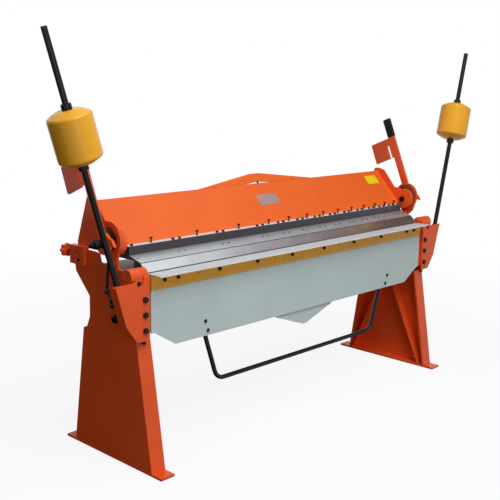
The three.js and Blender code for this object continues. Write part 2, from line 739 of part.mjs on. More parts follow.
class StationPath extends THREE.Curve {
  constructor(stations) {
    super();
    this.stations = stations;
  }

  getPoint(t, target = new THREE.Vector3()) {
    const place = THREE.MathUtils.clamp(t, 0, 1) * (this.stations.length - 1);
    const index = Math.min(Math.floor(place), this.stations.length - 2);
    return target.lerpVectors(this.stations[index], this.stations[index + 1], place - index);
  }

  getUtoTmapping(u) {
    return u;
  }
}

function liftBarSolid() {
  const y = liftBar.back;
  const top = new THREE.Vector3(liftBarTop.x, y, apronFoot + liftBarTop.rise);
  const corner = new THREE.Vector3(liftBarCorner.x, y, apronFoot + liftBarCorner.rise);
  const leg = top.clone().sub(corner).normalize();
  const bendStart = corner.clone().addScaledVector(leg, liftBar.bend);
  const bendEnd = corner.clone().add(new THREE.Vector3(-liftBar.bend, 0, 0));
  const flip = (point) => new THREE.Vector3(-point.x, point.y, point.z);
  const bend = new THREE.QuadraticBezierCurve3(bendStart, corner, bendEnd).getPoints(bendSteps);
  const stations = [top, ...bend, ...bend.map(flip).reverse(), flip(top)];
  const tube = new THREE.ExtrudeGeometry(disc(0, 0, liftBar.radius, boltSides), {
    steps: stations.length - 1, extrudePath: new StationPath(stations), bevelEnabled: false });
  const face = apron.front - gap;
  const across = (from, to, radius, sides) => liftBoltPlaces.map(
    ([x, z]) => rod([x, from, z], [x, to, z], radius, sides));
  return join(tube,
    ...across(apronBack + gap, y, liftBar.spacer, boltSides),
    ...across(face - liftBolt.headDepth / 2, y, liftBolt.shank, smallSides),
    ...across(face - liftBolt.headDepth, face, liftBolt.head, boltSides));
}

// Brackets at the ends of the folding beam: hinge knuckle, face plate, gusset and rod socket
const bracket = { front: -38.5, wall: 5, gussetBack: 10, webWidth: 25, webDrop: 32 };
const bracketBolt = { inset: 23.5, head: 12.5, headDepth: 8.5 };
const bracketBoltDrops = [100, 166, 234];
const bracketWindow = { inset: 51, drop: 28, halfWidth: 16, halfHeight: 13 };
const hangScrew = { inset: 20, radius: 5, back: -24, drop: 296 };
const tab = { reach: 60, wall: 7.7, top: 90, bottom: 250 };
const cheek = { foot: 64, toeBack: -11, shoulder: 12 };
const bracketInner = innerKnuckle[0];
const bracketBack = bracket.front + bracket.wall;

// Face plate outline, as shares of its width from the inner edge and of its drop below the bed
const bracketWidth = 192;
const bracketDrop = 282;
const faceOutlineShares = [
  [0, 1], [0.36, 0.98], [0.64, 0.72], [0.915, 0.096], [1, 0.09], [0.904, 0.075], [0.48, 0.075],
  [0.37, 0.055], [0.1, 0.055], [0.08, 0.02], [0, 0.02]];

// Counterweight rod: its axis leans outward in the plane of the apron
const rodLine = { reach: 177, back: -19.9, outwardSlope: 0.289, rearwardSlope: 0.026 };
const weightRod = { radius: 12.5, drop: 87, rise: 986 };
const socket = { radius: 19, floor: 12, drop: 30 };

// A place on the rod's axis, by its rise over the bed
function rodPoint(rise) {
  return [
    workHalf + rodLine.reach + rodLine.outwardSlope * rise,
    rodLine.back + rodLine.rearwardSlope * rise,
    bedHeight + rise,
  ];
}

// The gusset follows the lower and outer edges of the face plate
function gussetSolid(facePoints) {
  const edge = facePoints.slice(1, 4);
  const inside = edge.map(([x, z]) => [x - bracket.wall, z]).reverse();
  return frontSheet(outline([...edge, ...inside]), bracketBack - overrun / 2, bracket.gussetBack);
}

function bracketFixings() {
  const boltX = bracketInner + bracketBolt.inset;
  const headFace = bracket.front - bracketBolt.headDepth;
  const bolts = bracketBoltDrops.map((drop) => bedHeight - drop).map((z) => rod(
    [boltX, headFace, z], [boltX, bracketBack, z], bracketBolt.head, boltSides));
  const screwX = bracketInner + hangScrew.inset;
  const hanging = rod([screwX, hangScrew.back, bedHeight - hangScrew.drop],
    [screwX, hangScrew.back, bedHeight - tab.bottom], hangScrew.radius, boltSides);
  return [...bolts, hanging];
}

function bracketSolid() {
  const facePoints = faceOutlineShares.map(([across, down]) => [
    bracketInner + across * bracketWidth, bedHeight - down * bracketDrop]);
  const face = frontSheet(outline(facePoints), bracket.front, bracketBack);
  const sunk = bracketBack - overrun / 2;
  const tabFront = apronBack + gap;
  const tabBack = tabFront + tab.wall;
  const web = block([bracketInner, bracketInner + bracket.webWidth], [sunk, tabBack],
    [bedHeight - tab.bottom - overrun, bedHeight - bracket.webDrop]);
  const tabPlate = block([workHalf - tab.reach, bracketInner + overrun], [tabFront, tabBack],
    [bedHeight - tab.bottom, bedHeight - tab.top]);
  const cheekPlate = sideSheet(outline([
    [sunk, bedHeight - cheek.foot], [cheek.toeBack, bedHeight - cheek.foot],
    [0, bedHeight], [-housingRadius, bedHeight], [sunk, bedHeight - cheek.shoulder],
  ]), ...innerKnuckle);
  const eye = sideSheet(disc(...foldAxis, housingRadius, discSides), ...innerKnuckle);
  const seat = rod(rodPoint(-weightRod.drop - socket.floor), rodPoint(-socket.drop), socket.radius);
  const windowX = bracketInner + bracketWindow.inset;
  const windowZ = bedHeight - bracketWindow.drop;
  const { halfWidth, halfHeight } = bracketWindow;
  return cut(join(face, gussetSolid(facePoints), web, tabPlate, cheekPlate, eye, seat, ...bracketFixings()),
    block([windowX - halfWidth, windowX + halfWidth], [bracket.front - overrun, bracketBack + overrun],
      [windowZ - halfHeight, windowZ + halfHeight]),
    rod(rodPoint(-weightRod.drop - gap), rodPoint(overrun - socket.drop), weightRod.radius + gap),
    pinBore(innerKnuckle));
}

// Counterweights and their collars, on the rods
const weight = { radius: 89, straight: 172, dome: 22, shoulder: 6, crown: 45, rise: 582 };
const collar = { radius: 21, length: 23 };
const rodAxis = new THREE.Vector3(rodLine.outwardSlope, rodLine.rearwardSlope, 1).normalize();

function onRod(distance) {
  return new THREE.Vector3(...rodPoint(weight.rise)).addScaledVector(rodAxis, distance).toArray();
}

function sleeve(profile, start) {
  return turned([...profile, profile[0]], start, rodAxis.toArray());
}

function weightSolid() {
  const bore = weightRod.radius + gap;
  const length = weight.straight + weight.dome * 2;
  const { radius, dome, crown, shoulder } = weight;
  const end = [
    [bore, 0], [crown, 0], [radius - shoulder * 2, dome - shoulder * 2],
    [radius - shoulder / 2, dome - shoulder / 2], [radius, dome + shoulder / 2]];
  const otherEnd = end.map(([out, along]) => [out, length - along]).reverse();
  return sleeve([...end, ...otherEnd], onRod(-length / 2));
}

function collarSolids() {
  const bore = weightRod.radius + gap;
  const reach = weight.straight / 2 + weight.dome + gap;
  return [reach, -reach - collar.length].map((start) => sleeve([
    [bore, 0], [collar.radius, 0], [collar.radius, collar.length], [bore, collar.length],
  ], onRod(start)));
}

function makeFoldingBeam() {
  greyPainted('folding_apron_plate', apronSolid());
  greyPainted('apron_truss_plate', apronTrussSolid());
  ochrePainted('folding_bar', foldingBarSolid());
  ground('folding_blade', block([-bladeHalf, bladeHalf], [blade.back - blade.depth, blade.back],
    [bladeTop - blade.thickness, bladeTop]));
  pair('apron_bracket', painted, bracketSolid());
  blackened('lift_bar', liftBarSolid());
  pair('weight_rod', blackened, rod(
    rodPoint(-weightRod.drop), rodPoint(weightRod.rise), weightRod.radius, boltSides));
  pair('counterweight', ochrePainted, weightSolid());
  const [upper, lower] = collarSolids();
  pair('upper_collar', blackened, upper);
  pair('lower_collar', blackened, lower);
}

// Angle stop on the left side frame: a rod with a ball on a swinging clevis
const stop = { standOff: 31, boss: 10, rod: 6, ball: 12, width: 24 };
const stopPivotPlace = { back: 100, rise: -138 };
const stopBallPlace = { back: 148, rise: -87 };
const stopTopPlace = { back: 131, rise: 66 };
const clevis = { half: 15, below: 13, above: 22 };

function angleStopSolid() {
  const x = sideOuter + stop.standOff;
  const ends = [x - stop.width / 2, x + stop.width / 2];
  const [y, z] = overBed(stopPivotPlace);
  const middle = [x, ...overBed(stopBallPlace)];
  return join(
    rod(middle, [x, ...overBed(stopTopPlace)], stop.rod, boltSides),
    new THREE.IcosahedronGeometry(stop.ball, 2).translate(...middle),
    rod(middle, [x, y, z + clevis.above - overrun], stop.rod, boltSides),
    block(ends, [y - clevis.half, y + clevis.half], [z - clevis.below, z + clevis.above]),
    rod([sideOuter + gap, y, z], [ends[1] + overrun, y, z], stop.boss));
}

makeStand();
makeRearBlocks();
makeClampBeam();
makeLevers();
makeFoldingBeam();
blackened('angle_stop', mirrored(angleStopSolid()));

// The origin stands under the middle of the machine, on the floor
const brake = new THREE.Group();
machine.position.y = -(stand.front - frontToe + standRear + rearToe) / 2;
brake.add(machine);

export default brake;
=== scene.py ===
import json
import math

import bmesh
import bpy
from bpy.props import FloatProperty, FloatVectorProperty, PointerProperty
from mathutils import Matrix, Vector

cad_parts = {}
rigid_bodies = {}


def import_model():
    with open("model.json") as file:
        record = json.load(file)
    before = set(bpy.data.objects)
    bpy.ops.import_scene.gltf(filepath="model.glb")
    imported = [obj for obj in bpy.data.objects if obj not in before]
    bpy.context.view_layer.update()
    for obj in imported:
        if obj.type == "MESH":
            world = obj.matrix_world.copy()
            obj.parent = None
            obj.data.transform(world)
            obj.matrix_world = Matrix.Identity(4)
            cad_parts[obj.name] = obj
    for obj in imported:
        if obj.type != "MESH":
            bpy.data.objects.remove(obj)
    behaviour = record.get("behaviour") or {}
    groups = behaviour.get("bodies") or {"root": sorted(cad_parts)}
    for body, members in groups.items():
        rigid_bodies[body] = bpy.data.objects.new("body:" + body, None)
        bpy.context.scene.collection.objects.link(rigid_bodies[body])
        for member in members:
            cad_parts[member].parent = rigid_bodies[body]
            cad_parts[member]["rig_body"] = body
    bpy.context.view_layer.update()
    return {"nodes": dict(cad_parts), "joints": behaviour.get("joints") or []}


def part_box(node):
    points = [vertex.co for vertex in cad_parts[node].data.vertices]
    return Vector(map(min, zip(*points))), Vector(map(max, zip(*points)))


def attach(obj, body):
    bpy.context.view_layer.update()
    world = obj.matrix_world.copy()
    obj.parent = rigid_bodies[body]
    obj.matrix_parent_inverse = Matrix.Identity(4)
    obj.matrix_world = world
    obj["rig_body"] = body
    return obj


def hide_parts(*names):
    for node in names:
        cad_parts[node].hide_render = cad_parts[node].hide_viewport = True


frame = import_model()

bl_info = {
    "name": "Segmented sheet metal brake",
    "version": (1, 0, 0),
    "blender": (4, 5, 0),
    "location": "View3D > Sidebar > Brake",
    "description": "Dresses the machine with its finishes, fasteners, weights and studio",
    "category": "Object",
}

MM = 0.001
JOINTS = {joint["name"]: joint for joint in frame["joints"]}
FOLD = Vector(JOINTS["fold"]["pos_m"])
HUB = Vector(JOINTS["lever_right_turn"]["pos_m"])
STOP_PIVOT = Vector(JOINTS["angle_stop_swing"]["pos_m"])
SIDES = {"right": 1, "left": -1}
FINGERS = sorted(name for name in frame["nodes"] if name.startswith("finger_") and name[-1].isdigit())
WORK_HALF = max(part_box(name)[1].x for name in FINGERS) / MM

# Places in millimetres: along the bed, behind the fold line and over the bed. Leans in degrees.
CLAMP_BAR = {"front": 116, "back": 200, "bottom": 60, "top": 99}
T_BOLT_LINE = 135
SCREW_LINE = 124
SCREW_OFFSET = 20
LEDGE = {"back": 85, "rise": 51.4, "lean": 15.3}
# Bands in millimetres that take the fingers' dark finish: a painted shadow line at the nose and a fine dark
# line at the knee
FINGER_LINES = {"nose_rise": 3, "knee_start": 38, "knee_end": 41.1}
FOLDING_BAR = {"half": 1018, "front": -30, "back": -14.3, "top": -5.7, "bottom": -70.7}
FOLDING_BOLTS = {"shares": (0.122, 0.366, 0.61, 0.854, 0.929), "rise": -31.6}
GRUB_PLACES = (249, 750)
BRACKET = {"face": -38.5, "back": -33.5}
BRACKET_BOLTS = {"along": 1059.5, "drops": (100, 166, 234)}
WINDOW = {"along": 1087, "drop": 28, "half_width": 16, "half_height": 13, "pocket_depth": 5, "margin": 3,
          "clear": 0.2, "screw": 10.5, "screw_depth": 3.5}
HANGING_SCREW = {"along": 1056, "back": -24, "bottom": 296}
ROD = {"reach": 177, "back": -19.9, "outward": 0.289, "rearward": 0.026, "drop": 87, "rise": 986,
       "radius": 12.5}
WEIGHT = {"rise": 582, "straight": 172, "dome": 22, "radius": 89}
COLLAR = {"radius": 21, "length": 23}
LIFT_BAR = {"back": 5, "radius": 10.75, "tangent": 45}
LIFT_TOP = {"along": 710, "rise": -242}
LIFT_CORNER = {"along": 601, "rise": -567}
LIFT_BOLT_DROPS = (262, 307)
LIFT_BOLT = {"clear": 0.3, "head": 9, "head_depth": 6, "shank": 5, "reach": 30, "spacer": 12,
             "spacer_length": 14}
APRON = {"front": -26, "back": -18}
LEVER = {"lean": 22.4, "length": 389, "inner": 1130, "outer": 1145}
GRIP = {"clear": 0.3, "thick": 25, "wide": 50, "tall": 111, "corner": 9, "rim": 3, "plain_end": 8,
        "groove_half": 1.4, "squeeze": (0.86, 0.93, 1)}
ECCENTRIC = {"inner": 1090.3, "flange": 68, "core": 50, "throw": 17, "flange_depth": 7.4, "core_depth": 20}
STUD = {"start": 1048.7, "ear": 1059.7, "spacer": 1110.3, "sleeve": 1145.3, "nut": 1169.3,
        "nut_depth": 22, "end": 1209.3}
KNOB = {"along": 1089.3, "back": 471, "rise": 44, "radius": 27.5, "lobe": 3.5, "lobes": 7, "depth": 22}
FRONT_PLATE = {"back": 155, "rise": 99.3, "lean_back": 0.675, "lean_up": 0.738}
STOP = {"ball": (0, 48, 51), "tip": (0, 31, 204), "rod": 6, "ball_radius": 12, "width": 24, "half": 15,
        "below": 13, "above": 22, "boss": 10, "boss_start": 30.7}
BLOCK_BOLT = {"along": 1104.3, "back": 370, "rise": 18, "radius": 9.6, "depth": 5}
STOP_BOLT = {"along": -1086, "back": 128, "rise": -210, "radius": 20, "depth": 14}


def length(name, value, text):
    """A size that a user may change, given in millimetres."""
    return FloatProperty(name=name, description=text, default=value * MM, min=0, unit="LENGTH",
                         subtype="DISTANCE")


def linear(code):
    """An sRGB hex colour as the linear colour that Blender works in."""
    shares = [int(code[place:place + 2], 16) / 255 for place in (1, 3, 5)]
    return [share / 12.92 if share <= 0.04045 else ((share + 0.055) / 1.055) ** 2.4 for share in shares]


def paint(name, code, text):
    """A colour that a user may change, given as an sRGB hex value."""
    return FloatVectorProperty(name=name, description=text, default=linear(code), min=0, max=1,
                               subtype="COLOR")


class BrakeSizes(bpy.types.PropertyGroup):
    plate_edge: length("Plate edge", 1.6, "Rounding along the cut edges of painted plates")
    ground_edge: length("Ground edge", 0.25, "Rounding along the edges of the ground pieces")
    t_bolt_head: length("T bolt head", 7, "Radius of the head on each T bolt")
    cap_screw_head: length("Cap screw head", 7, "Radius of the cap screws beside the finger joints")
    folding_bolt_head: length("Folding bar bolt head", 8, "Radius of the bolt heads on the folding bar")
    bracket_bolt_head: length("Bracket bolt head", 12.9, "Radius of the bolt heads on the brackets")
    rib_pitch: length("Grip rib pitch", 7, "Distance between the ribs of a grip")
    plate_width: length("Data plate width", 146, "Width of the blank data plate")
    plate_height: length("Data plate height", 64, "Height of the blank data plate")
    sticker_width: length("Sticker width", 106, "Width of the blank sticker")
    sticker_height: length("Sticker height", 58, "Height of the blank sticker")


class BrakeColours(bpy.types.PropertyGroup):
    orange: paint("Orange enamel", "#F26A26", "Front, rear and truss plates of the clamping beam")
    # A redder copy of the orange enamel: its redder tone is painted shade for the stand and its fittings.
    stand_shaded_orange: paint("Stand enamel", "#F05A22", "Stand, end plates, levers, brackets and knobs")
    ochre: paint("Ochre enamel", "#F6B028", "Folding bar and counterweights")
    grey: paint("Grey enamel", "#C9D9D8", "Apron and its truss")
    steel: paint("Ground steel", "#D3DADC", "Fingers and blade")
    # The bed steel's brown tint is a painted reflection of the orange plates.
    bed: paint("Bed steel with painted reflection", "#8A7774", "Bed plate")
    # This dark steel also colours the fingers' end faces and nose line, where it is partly painted shade.
    bar: paint("Blued bar steel", "#474347", "Clamp bar front and the joints of the fingers")
    milled: paint("Milled steel", "#E2E6EA", "Clamp bar top")
    oxide: paint("Black oxide", "#08090B", "Bolts, rods, collars and lift bar")
    turned: paint("Oiled turned steel", "#7A5847", "Eccentric discs")
    rubber: paint("Rubber", "#0E0E0F", "Lever grips")
    foil: paint("Aluminium foil", "#CDBBB6", "Blank data plate")
    vinyl: paint("Yellow vinyl", "#F3D51C", "Blank sticker")


def sizes():
    return bpy.context.scene.brake_sizes


def colours():
    return bpy.context.scene.brake_colours


# Materials

def add_node(tree, kind, settings=None, links=None):
    """A node with its settings, as sockets or as its own fields, and the outputs that feed it."""
    node = tree.nodes.new(kind)
    for name, value in (settings or {}).items():
        if name in node.inputs:
            node.inputs[name].default_value = value
        else:
            setattr(node, name, value)
    for name, source in (links or {}).items():
        tree.links.new(source, node.inputs[name])
    return node


def new_material(name):
    """An empty material with its output, its shader and the object's own coordinates."""
    material = bpy.data.materials.new(name)
    material.use_nodes = True
    tree = material.node_tree
    tree.nodes.clear()
    shader = add_node(tree, "ShaderNodeBsdfPrincipled")
    add_node(tree, "ShaderNodeOutputMaterial", links={"Surface": shader.outputs["BSDF"]})
    coordinates = add_node(tree, "ShaderNodeTexCoord")
    return material, tree, shader, coordinates.outputs["Object"]


def shaded(colour, share):
    """A colour made lighter or darker by a share, with its opacity."""
    return [min(channel * share, 1) for channel in colour] + [1]


def grain_size(millimetres):
    """The Noise scale whose blotches are about this wide."""
    return 1 / (millimetres * MM)


def mottled(tree, place, colour, spread, width):
    """A colour that drifts between two shades over blotches of a width in millimetres."""
    blotches = add_node(tree, "ShaderNodeTexNoise", {"Scale": grain_size(width), "Detail": 3},
                        {"Vector": place})
    ramp = add_node(tree, "ShaderNodeValToRGB", links={"Fac": blotches.outputs["Fac"]})
    ramp.color_ramp.elements[0].position = 0.3
    ramp.color_ramp.elements[0].color = shaded(colour, 1 - spread)
    ramp.color_ramp.elements[1].position = 0.7
    ramp.color_ramp.elements[1].color = shaded(colour, 1 + spread)
    return ramp.outputs["Color"]


def texture(tree, shader, wear, roughness, relief, strength, depth):
    """Varies the roughness between two values by one pattern and raises the skin by another."""
    low, high = roughness
    gloss = add_node(tree, "ShaderNodeMapRange", {"To Min": low, "To Max": high},
                     {"Value": wear.outputs["Fac"]})
    tree.links.new(gloss.outputs["Result"], shader.inputs["Roughness"])
    bump = add_node(tree, "ShaderNodeBump", {"Strength": strength, "Distance": depth * MM},
                    {"Height": relief.outputs["Fac"]})
    tree.links.new(bump.outputs["Normal"], shader.inputs["Normal"])


def enamel(name, colour, roughness=0.34):
    """Sprayed enamel over plate: an even gloss broken by orange peel a few millimetres wide."""
    material, tree, shader, place = new_material(name)
    tree.links.new(mottled(tree, place, colour, 0.04, 260), shader.inputs["Base Color"])
    peel = add_node(tree, "ShaderNodeTexNoise", {"Scale": grain_size(4), "Detail": 2}, {"Vector": place})
    handling = add_node(tree, "ShaderNodeTexNoise", {"Scale": grain_size(90), "Detail": 4},
                        {"Vector": place})
    texture(tree, shader, handling, (roughness - 0.08, roughness + 0.1), peel, 0.12, 0.2)
    shader.inputs["IOR"].default_value = 1.5
    shader.inputs["Specular IOR Level"].default_value = 0.1
    shader.inputs["Coat Weight"].default_value = 0.3
    shader.inputs["Coat Roughness"].default_value = 0.1
    return material


def ground(name, colour, roughness, stretch=(0.02, 1, 1), width=2.5):
    """Surface-ground steel: fine lines along the bed, drawn wider than real so that they show."""
    material, tree, shader, place = new_material(name)
    along = add_node(tree, "ShaderNodeMapping", {"Scale": stretch}, {"Vector": place})
    lines = add_node(tree, "ShaderNodeTexNoise", {"Scale": grain_size(width), "Detail": 5},
                     {"Vector": along.outputs["Vector"]})
    tree.links.new(mottled(tree, place, colour, 0.06, 120), shader.inputs["Base Color"])
    texture(tree, shader, lines, (roughness - 0.07, roughness + 0.09), lines, 0.1, 0.05)
    shader.inputs["Metallic"].default_value = 1
    return material


def milled_steel(name, colour, metallic):
    """Mill-finished steel: pale and dull, with cutter marks across it drawn 5 mm apart so that they show."""
    material, tree, shader, place = new_material(name)
    marks = add_node(tree, "ShaderNodeTexWave", {
        "wave_type": "BANDS", "bands_direction": "X", "Distortion": 1.5,
        "Scale": grain_size(5) / (2 * math.pi),
    }, {"Vector": place})
    tree.links.new(mottled(tree, place, colour, 0.06, 40), shader.inputs["Base Color"])
    texture(tree, shader, marks, (0.5, 0.62), marks, 0.1, 0.05)
    shader.inputs["Metallic"].default_value = metallic
    return material


def oxide(name, colour, roughness):
    """Chemically blackened steel: a dark oxide skin, slightly uneven, with a dull oily sheen."""
    material, tree, shader, place = new_material(name)
    tree.links.new(mottled(tree, place, colour, 0.3, 30), shader.inputs["Base Color"])
    skin = add_node(tree, "ShaderNodeTexNoise", {"Scale": grain_size(6), "Detail": 4}, {"Vector": place})
    texture(tree, shader, skin, (roughness - 0.1, roughness + 0.12), skin, 0.08, 0.1)
    shader.inputs["Specular IOR Level"].default_value = 0.2
    return material


def turned_steel(name, colour):
    """Lathe-turned steel left oily: rings about the eccentric's centre, 3 mm apart so that they show."""
    material, tree, shader, place = new_material(name)
    centre = Vector((0, HUB.y, HUB.z + ECCENTRIC["throw"] * MM))
    centred = add_node(tree, "ShaderNodeMapping", {"Location": -centre}, {"Vector": place})
    rings = add_node(tree, "ShaderNodeTexWave", {
        "wave_type": "RINGS", "rings_direction": "X", "Distortion": 0.4,
        "Scale": grain_size(3) / (2 * math.pi),
    }, {"Vector": centred.outputs["Vector"]})
    tree.links.new(mottled(tree, place, colour, 0.2, 25), shader.inputs["Base Color"])
    texture(tree, shader, rings, (0.3, 0.42), rings, 0.25, 0.15)
    shader.inputs["Metallic"].default_value = 0.85
    return material


def moulded(name, colour, roughness, width=1.2):
    """Moulded rubber or printed vinyl: matt, with a fine pebble from the mould."""
    material, tree, shader, place = new_material(name)
    tree.links.new(mottled(tree, place, colour, 0.08, 40), shader.inputs["Base Color"])
    pebble = add_node(tree, "ShaderNodeTexNoise", {"Scale": grain_size(width), "Detail": 2},
                      {"Vector": place})
    texture(tree, shader, pebble, (roughness - 0.05, roughness + 0.08), pebble, 0.3, 0.1)
    shader.inputs["Specular IOR Level"].default_value = 0.25
    return material


def make_finishes():
    """Each finish by its key, made once."""
    shade = colours()
    return {
        "orange_paint": enamel("orange_enamel", shade.orange),
        # The redder copy of the orange enamel, as painted shade on the stand and its fittings.
        "stand_shaded_paint": enamel("orange_enamel_painted_shade", shade.stand_shaded_orange),
        "ochre_paint": enamel("ochre_enamel", shade.ochre, 0.28),
        "grey_paint": enamel("grey_enamel", shade.grey, 0.42),
        "ground_steel": ground("ground_steel", shade.steel, 0.2),
        "dark_steel": ground("blued_bar_steel", shade.bar, 0.3),
        # Its brown tint is a painted reflection of the orange plates.
        "bed_steel": ground("bed_steel_painted_reflection", shade.bed, 0.4),
        "milled_steel": milled_steel("milled_steel", shade.milled, 0.3),
        "blade_steel": milled_steel("milled_blade_steel", shade.steel, 0.6),
        "ledge_steel": ground("milled_ledge_steel", shade.steel, 0.42),
        # Dark finish for the fingers' ends and fine lines: dark joints, painted shade on the outer ends, a
        # painted shadow line along the nose.
        "line_steel": oxide("joint_and_painted_shade_steel", shade.bar, 0.5),
        "black_oxide": oxide("black_oxide_steel", shade.oxide, 0.2),
        "brown_steel": turned_steel("oiled_turned_steel", shade.turned),
        "black_rubber": moulded("ribbed_rubber", shade.rubber, 0.55),
        "foil": ground("aluminium_foil", shade.foil, 0.34, (1, 1, 1), 8),
        "vinyl": moulded("yellow_vinyl", shade.vinyl, 0.4),
    }


FINISHES = {}


# Shapes

def spot(along, back, rise):
    """A place by millimetres along the bed, behind the fold line and over the bed."""
    return FOLD + Vector((along, back, rise)) * MM


def absorb(mesh_under_way, fresh):
    """Adds a finished shape to the piece being built."""
    mesh = bpy.data.meshes.new("shape")
    fresh.to_mesh(mesh)
    fresh.free()
    mesh_under_way.from_mesh(mesh)
    bpy.data.meshes.remove(mesh)


def facing(start, direction):
    """The place and turn that point a shape's own Z along a direction from start."""
    turn = Vector(direction).to_track_quat("Z", "Y").to_matrix().to_4x4()
    return Matrix.Translation(start) @ turn


def add_turned(bm, profile, start, direction, steps=40):
    """A turned shape from pairs of radius and distance, in millimetres, along a direction."""
    fresh = bmesh.new()
    points = [fresh.verts.new((radius * MM, 0, along * MM)) for radius, along in profile]
    edges = [fresh.edges.new(pair) for pair in zip(points, points[1:])]
    bmesh.ops.spin(fresh, geom=points + edges, cent=(0, 0, 0), axis=(0, 0, 1), angle=2 * math.pi,
                   steps=steps, use_merge=True)
    bmesh.ops.remove_doubles(fresh, verts=fresh.verts, dist=0.001 * MM)
    bmesh.ops.recalc_face_normals(fresh, faces=fresh.faces)
    bmesh.ops.transform(fresh, matrix=facing(start, direction), verts=fresh.verts)
    absorb(bm, fresh)


def bevel_edges(bm, edges, width, segments=2):
    """Rounds edges by a width in metres."""
    bmesh.ops.bevel(bm, geom=edges, offset=width, offset_type="OFFSET", segments=segments, profile=0.5,
                    affect="EDGES", clamp_overlap=True, material=-1)


def cut_across(bm, place, normal):
    """Adds edges where a plane crosses a shape."""
    everything = bm.verts[:] + bm.edges[:] + bm.faces[:]
    bmesh.ops.bisect_plane(bm, geom=everything, dist=0.01 * MM, plane_co=place, plane_no=normal)


def add_block(bm, low, high, edge):
    """A block between two corners with softened edges."""
    fresh = bmesh.new()
    bmesh.ops.create_cube(fresh, size=1)
    span = high - low
    bmesh.ops.scale(fresh, vec=span, verts=fresh.verts)
    bmesh.ops.translate(fresh, vec=(low + high) / 2, verts=fresh.verts)
    bevel_edges(fresh, fresh.edges[:], edge)
    absorb(bm, fresh)


def add_tube(bm, points, radius, segments=32):
    """A round tube through a list of places, with flat ends."""
    fresh = bmesh.new()
    loops = []
    for index, point in enumerate(points):
        before = points[max(index - 1, 0)]
        after = points[min(index + 1, len(points) - 1)]
        turn = (after - before).to_track_quat("Z", "Y").to_matrix().to_4x4()
        ends = index in (0, len(points) - 1)
        circle = bmesh.ops.create_circle(fresh, cap_ends=ends, radius=radius * MM, segments=segments,
                                         matrix=Matrix.Translation(point) @ turn)
        around = [edge for vert in circle["verts"] for edge in vert.link_edges]
        loops.append({edge for edge in around if len(edge.link_faces) <= 1})
    for near, far in zip(loops, loops[1:]):
        rim = [edge for edge in near | far if edge.is_valid]
        bmesh.ops.bridge_loops(fresh, edges=rim)
    bmesh.ops.recalc_face_normals(fresh, faces=fresh.faces)
    absorb(bm, fresh)


def finish_piece(name, bm, body, finish, replaces=(), sharp=50):
    """Turns a built shape into a piece that rides on a body and takes a finish."""
    mesh = bpy.data.meshes.new(name)
    bm.to_mesh(mesh)
    bm.free()
    mesh.polygons.foreach_set("use_smooth", [True] * len(mesh.polygons))
    mesh.set_sharp_from_angle(angle=math.radians(sharp))
    mesh.materials.append(FINISHES[finish])
    piece = bpy.data.objects.new(name, mesh)
    bpy.context.scene.collection.objects.link(piece)
    even = piece.modifiers.new("even_shading", "WEIGHTED_NORMAL")
    even.keep_sharp = True
    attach(piece, body)
    if replaces:
        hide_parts(*replaces)
    return piece


def cap_profile(radius, height, socket=0.4, depth=0.55):
    """A socket head: a rounded rim and a round socket, from its seat up."""
    rim = radius * 0.12
    return [(0, height * (1 - depth)), (radius * socket, height * (1 - depth)), (radius * socket, height),
            (radius - rim, height), (radius, height - rim), (radius, 0), (0, 0)]


def bracket_head_profile(radius):
    """A thick round bolt head with a softly domed top, from its seat up."""
    return [(0, 9.9), (radius * 0.34, 9.9), (radius * 0.4, 10.6), (radius * 0.72, 10.1),
            (radius * 0.93, 9.2), (radius, 8), (radius, 0), (0, 0)]


def dome_profile(radius, height):
    """A button head from its seat up: a low dome, an even rim and a flat seat."""
    return [(0, height * 0.82), (radius * 0.3, height * 0.82), (radius * 0.34, height),
            (radius * 0.7, height * 0.86), (radius * 0.93, height * 0.5), (radius, height * 0.15),
            (radius, 0), (0, 0)]


# Plates and pins of the solid model, with softened edges

# The stand's plates and pins take the redder copy of the orange, as painted shade.
PLATES = {
    "orange_paint": ("clamp_front_plate", "clamp_rear_plate", "clamp_truss_plate"),
    "stand_shaded_paint": ("side_frame", "base_plate", "stand_rib", "bed_beam", "rear_block", "clamp_end_plate",
                    "clamp_lever", "clamp_link", "apron_bracket"),
    "grey_paint": ("folding_apron_plate", "apron_truss_plate"),
}
PLAIN_NODES = {"hinge_pin": "stand_shaded_paint", "beam_pivot_pin": "stand_shaded_paint", "crowning_screw": "black_oxide"}
# Angles in degrees: faces that count as one flat, edges that are rounded, ground edges that stay crisp
FLAT_ANGLE = 0.5
CORNER_ANGLE = 35
GROUND_SHARP = 12


def soften(node, finish, edge, segments, sharp=50, cuts=()):
    """A copy of a node's solid with whole flat faces and rounded edges, cut across at given planes."""
    body = frame["nodes"][node]["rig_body"]
    bm = bmesh.new()
    bm.from_mesh(frame["nodes"][node].data)
    bmesh.ops.remove_doubles(bm, verts=bm.verts, dist=0.01 * MM)
    bmesh.ops.dissolve_limit(bm, angle_limit=math.radians(FLAT_ANGLE), verts=bm.verts, edges=bm.edges)
    turn = math.radians(CORNER_ANGLE)
    corners = [each for each in bm.edges if each.is_manifold and each.calc_face_angle(0) > turn]
    bevel_edges(bm, corners, edge, segments)
    for place, normal in cuts:
        cut_across(bm, place, normal)
    return finish_piece(f"{node}_dressed", bm, body, finish, [node], sharp)


def dark_on_finger(face):
    """Whether a face takes the dark finish: a finger's end (dark for its joint, painted shade at the outer
    ends), a painted shadow line along its nose, a fine dark line along its knee.
    """
    middle = (face.center - FOLD) / MM
    nose = middle.z < FINGER_LINES["nose_rise"] and face.normal.z > 0.3
    knee = FINGER_LINES["knee_start"] < middle.y < FINGER_LINES["knee_end"] and face.normal.z > 0.3
    return abs(face.normal.x) > 0.3 or nose or knee


class BRAKE_OT_plates(bpy.types.Operator):
    """Dress the painted plates of the stand, clamping beam and folding beam"""
    bl_idname = "brake.plates"
    bl_label = "Painted plates"

    def execute(self, context):
        for finish, stems in PLATES.items():
            for node in frame["nodes"]:
                if node.startswith(stems):
                    soften(node, finish, sizes().plate_edge, 2)
        return {"FINISHED"}


